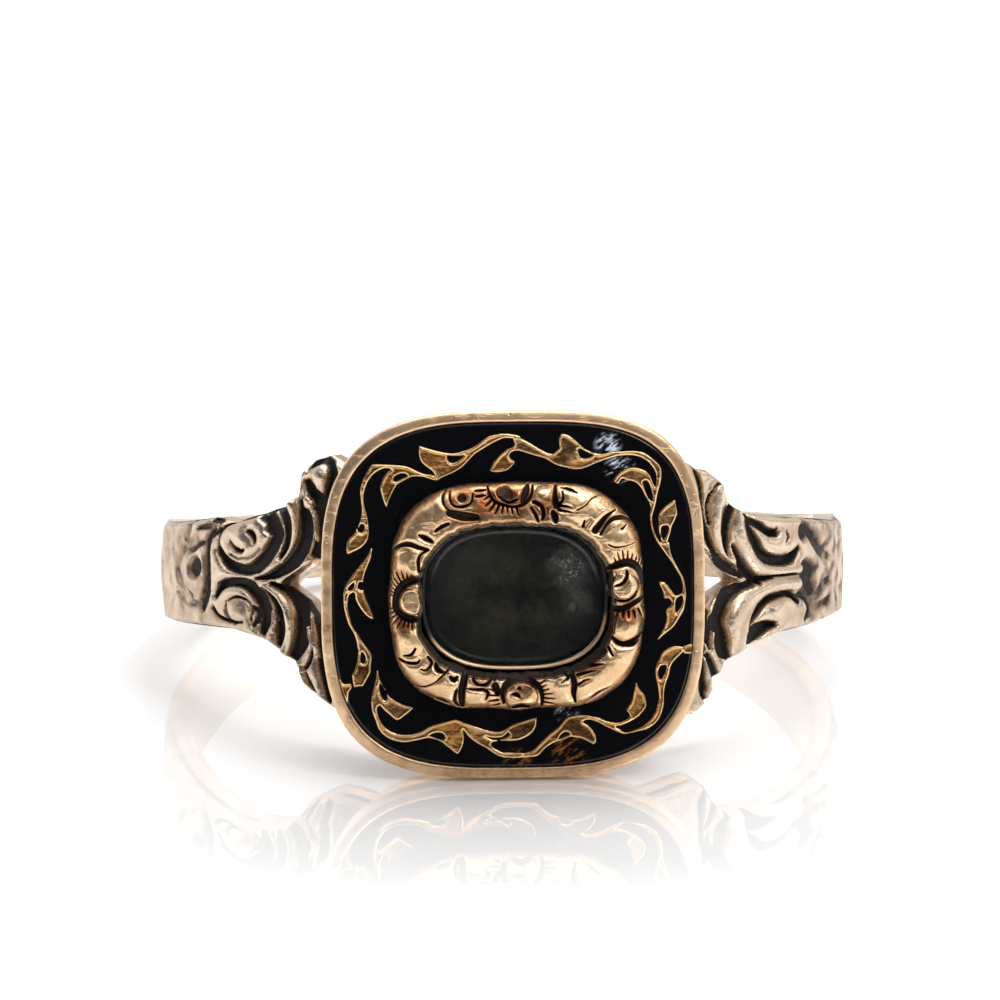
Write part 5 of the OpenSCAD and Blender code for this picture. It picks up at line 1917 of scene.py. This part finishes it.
@dataclass(frozen=True)
class Stage:
    """Glossy pale floor, soft lights and the camera. Lengths are in metres, angles in degrees; a
    light is its name, place, size and power."""

    face_pixel: tuple[float, float] = (513.2, 595.1)
    picture_px: int = 1000
    focal_px: float = 7289.0
    sensor_mm: float = 36.0
    distance: float = 0.200
    elevation: float = 16.3
    yaw: float = 1.8
    floor_half: float = 3.0
    lights: tuple[tuple[str, tuple[float, float, float], float, float], ...] = (
        ("key", (0.30, -0.32, 0.52), 0.20, 0.9),
        ("top", (0.10, 0.35, 0.70), 0.60, 3.8),
        ("fill", (0.60, -0.05, 0.25), 0.30, 0.3),
    )

    def floor(self) -> None:
        """A wide white floor with a faint glow of its own, which mirrors what stands close to its
        middle."""
        half = self.floor_half
        corners = [(-half, -half, 0), (half, -half, 0), (half, half, 0), (-half, half, 0)]
        mesh = bpy.data.meshes.new("floor")
        mesh.from_pydata(corners, [], [(0, 1, 2, 3)])
        g = Graph.named("floor_white")

        def near(y: float, low: float, high: float) -> Value:
            """How close the floor is to a place under the ring, y metres behind the middle."""
            gap = g.node("VectorMath", {"operation": "DISTANCE"}, s0=g.place(), s1=(0.0, y, 0.0))
            return 1 - g.step(g.value(gap, "Value"), low, high)

        wet = 0.09 * near(-0.0105, 0.001, 0.015) + 0.29 * near(-0.004, 0.0135, 0.023)
        matt = g.node("BsdfDiffuse", None, Color=(0.95, 0.95, 0.95, 1))
        gloss = g.node("BsdfGlossy", None, Color=(1, 1, 1, 1), Roughness=0.02)
        glow = g.node("Emission", None, Strength=0.06)
        lit = g.node("AddShader", None, s0=matt.outputs[0], s1=glow.outputs[0])
        both = g.node("MixShader", None, s0=wet, s1=lit.outputs[0], s2=gloss.outputs[0])
        mesh.materials.append(g.finish(both.outputs[0]))
        plate = bpy.data.objects.new("floor", mesh)
        bpy.context.scene.collection.objects.link(plate)

    def world(self) -> None:
        """Bright room, brightest overhead, darker low in front of the ring, high on its left and on
        its right, white to the camera itself."""
        g = Graph(bpy.data.worlds.new("room"))
        ray = g.node("TexCoord").outputs["Generated"]

        def facing(x: float, y: float, z: float, low: float, high: float) -> Value:
            """How nearly a direction looks along x, y, z, eased between two cosines."""
            dot = g.node("VectorMath", {"operation": "DOT_PRODUCT"}, s0=ray, s1=(x, y, z))
            return g.step(g.value(dot, "Value"), low, high)

        low_front = facing(-0.12, -0.99, 0.0, 0.66, 0.93) * (1 - facing(0.0, 0.0, 1.0, 0.30, 0.52))
        high_left = facing(-0.62, -0.56, 0.55, 0.62, 0.90)
        right = facing(0.86, -0.48, 0.15, 0.55, 0.92)
        eye = g.value(g.node("LightPath"), "Is Camera Ray")
        level = (1 - 0.97 * low_front) * (1 - 0.8 * high_left) * (1 - 0.55 * right)
        level = level + 1.0 * facing(0.0, 0.0, 1.0, 0.78, 0.95)
        level = level * (1 - eye) + 1.1 * eye
        light = g.node("Background", None, Strength=level)
        bpy.context.scene.world = g.finish(light.outputs[0], "OutputWorld")

    def light(self, name: str, at: tuple[float, float, float], size: float, power: float) -> None:
        """A square soft light that looks at the ring.

        Args:
            name: name of the light.
            at: place in metres.
            size: edge length in metres.
            power: power in watts.
        """
        data = bpy.data.lights.new(name, "AREA")
        data.size, data.energy = size, power
        lamp = bpy.data.objects.new(name, data)
        lamp.location = at
        lamp.rotation_euler = (-Vector(at)).to_track_quat("-Z", "Y").to_euler()
        bpy.context.scene.collection.objects.link(lamp)

    def camera(self) -> None:
        """Long lens at the photograph's angle, turned so that the face's middle falls where the
        photograph has it."""
        e, w = math.radians(self.elevation), math.radians(self.yaw)
        target = Vector(PLACE.place(np.array([0.0, -11.0, 0.0])))
        back = Vector((-math.sin(w) * math.cos(e), -math.cos(w) * math.cos(e), math.sin(e)))
        data = bpy.data.cameras.new("camera")
        data.sensor_width = self.sensor_mm
        data.lens = self.focal_px * self.sensor_mm / self.picture_px
        data.clip_start, data.clip_end = 0.01, 10.0
        eye = bpy.data.objects.new("camera", data)
        aim = (-back).to_track_quat("-Z", "Y").to_matrix()
        right, down = (
            math.atan((pixel - self.picture_px / 2) / self.focal_px) for pixel in self.face_pixel
        )
        eye.matrix_world = Matrix.Translation(target + self.distance * back) @ (
            aim @ Matrix.Rotation(right, 3, "Y") @ Matrix.Rotation(down, 3, "X")
        ).to_4x4()
        bpy.context.scene.collection.objects.link(eye)
        bpy.context.scene.camera = eye

    def build(self) -> None:
        """Makes the whole stage."""
        self.floor()
        self.world()
        for name, at, size, power in self.lights:
            self.light(name, at, size, power)
        self.camera()
        settings = bpy.context.scene.view_settings
        settings.view_transform, settings.look = "Standard", "None"
        settings.exposure, settings.gamma = 0.0, 1.0


def build_ring() -> None:
    """Builds and dresses every piece of the ring."""
    sizes = HeadSizes()
    satin = WornGold("satin_gold", body=(0.90, 0.62, 0.385), shade=(0.70, 0.45, 0.245)).make()
    pale = WornGold("band_gold", body=(0.64, 0.49, 0.36), shade=(0.42, 0.29, 0.195), pits=0.15,
                    bright=(0.74, 0.60, 0.46), brown=(0.24, 0.145, 0.085), rough=0.36).make()
    relief = WornGold("chased_gold", body=(0.92, 0.62, 0.36), shade=(0.68, 0.40, 0.20), rough=0.30,
                      brown=(0.27, 0.09, 0.028), oxide=(0.018, 0.008, 0.004), pits=0.4,
                      shaded_places=FRAME_SHADED_PLACES).make()
    vine = WornGold("vine_gold", body=(0.90, 0.56, 0.27), bright=(1.0, 0.70, 0.36), rough=0.24,
                    pits=0.25, leafy=True).make()
    enamel, glass, hair = BlackEnamel().make(), HazyGlass().make(), DarkHair().make()
    left = Band(Side.LEFT, LEFT_EDGES, LEFT_MOTIFS, split=40.5)
    # The right band's heavier veil is painted shade.
    right = Band(Side.RIGHT, RIGHT_EDGES, RIGHT_MOTIFS, split=41.4, stain_and_shade=0.32)
    for name, part, slot, dress, node in (
        ("band_left", left, Slot.GOLD, pale, "ring_body"),
        ("band_right", right, Slot.GOLD, pale, "ring_body"),
        ("head_body", HeadBody(sizes), Slot.GOLD, satin, "ring_body"),
        ("scrolls", Scrolls(sizes), Slot.GOLD, vine, "ring_body"),
        ("enamel", Enamel(sizes), Slot.ENAMEL, enamel, "enamel_border"),
        ("frame_chased", ChasedFrame(sizes), Slot.GOLD, relief, "chased_frame"),
        ("collet_lip", Collet(sizes), Slot.GOLD, satin, "collet"),
        ("hair_pad", Hair(sizes), Slot.HAIR, hair, "hair_panel"),
        ("window_glass", Glass(sizes), Slot.GLASS, glass, "glass"),
    ):
        part.shell().make(name, slot, dress, node)


def main() -> None:
    """Builds the ring and its stage."""
    logging.basicConfig(level=logging.INFO, format="%(name)s: %(message)s")
    build_ring()
    Stage().build()


if __name__ == "__main__":
    main()
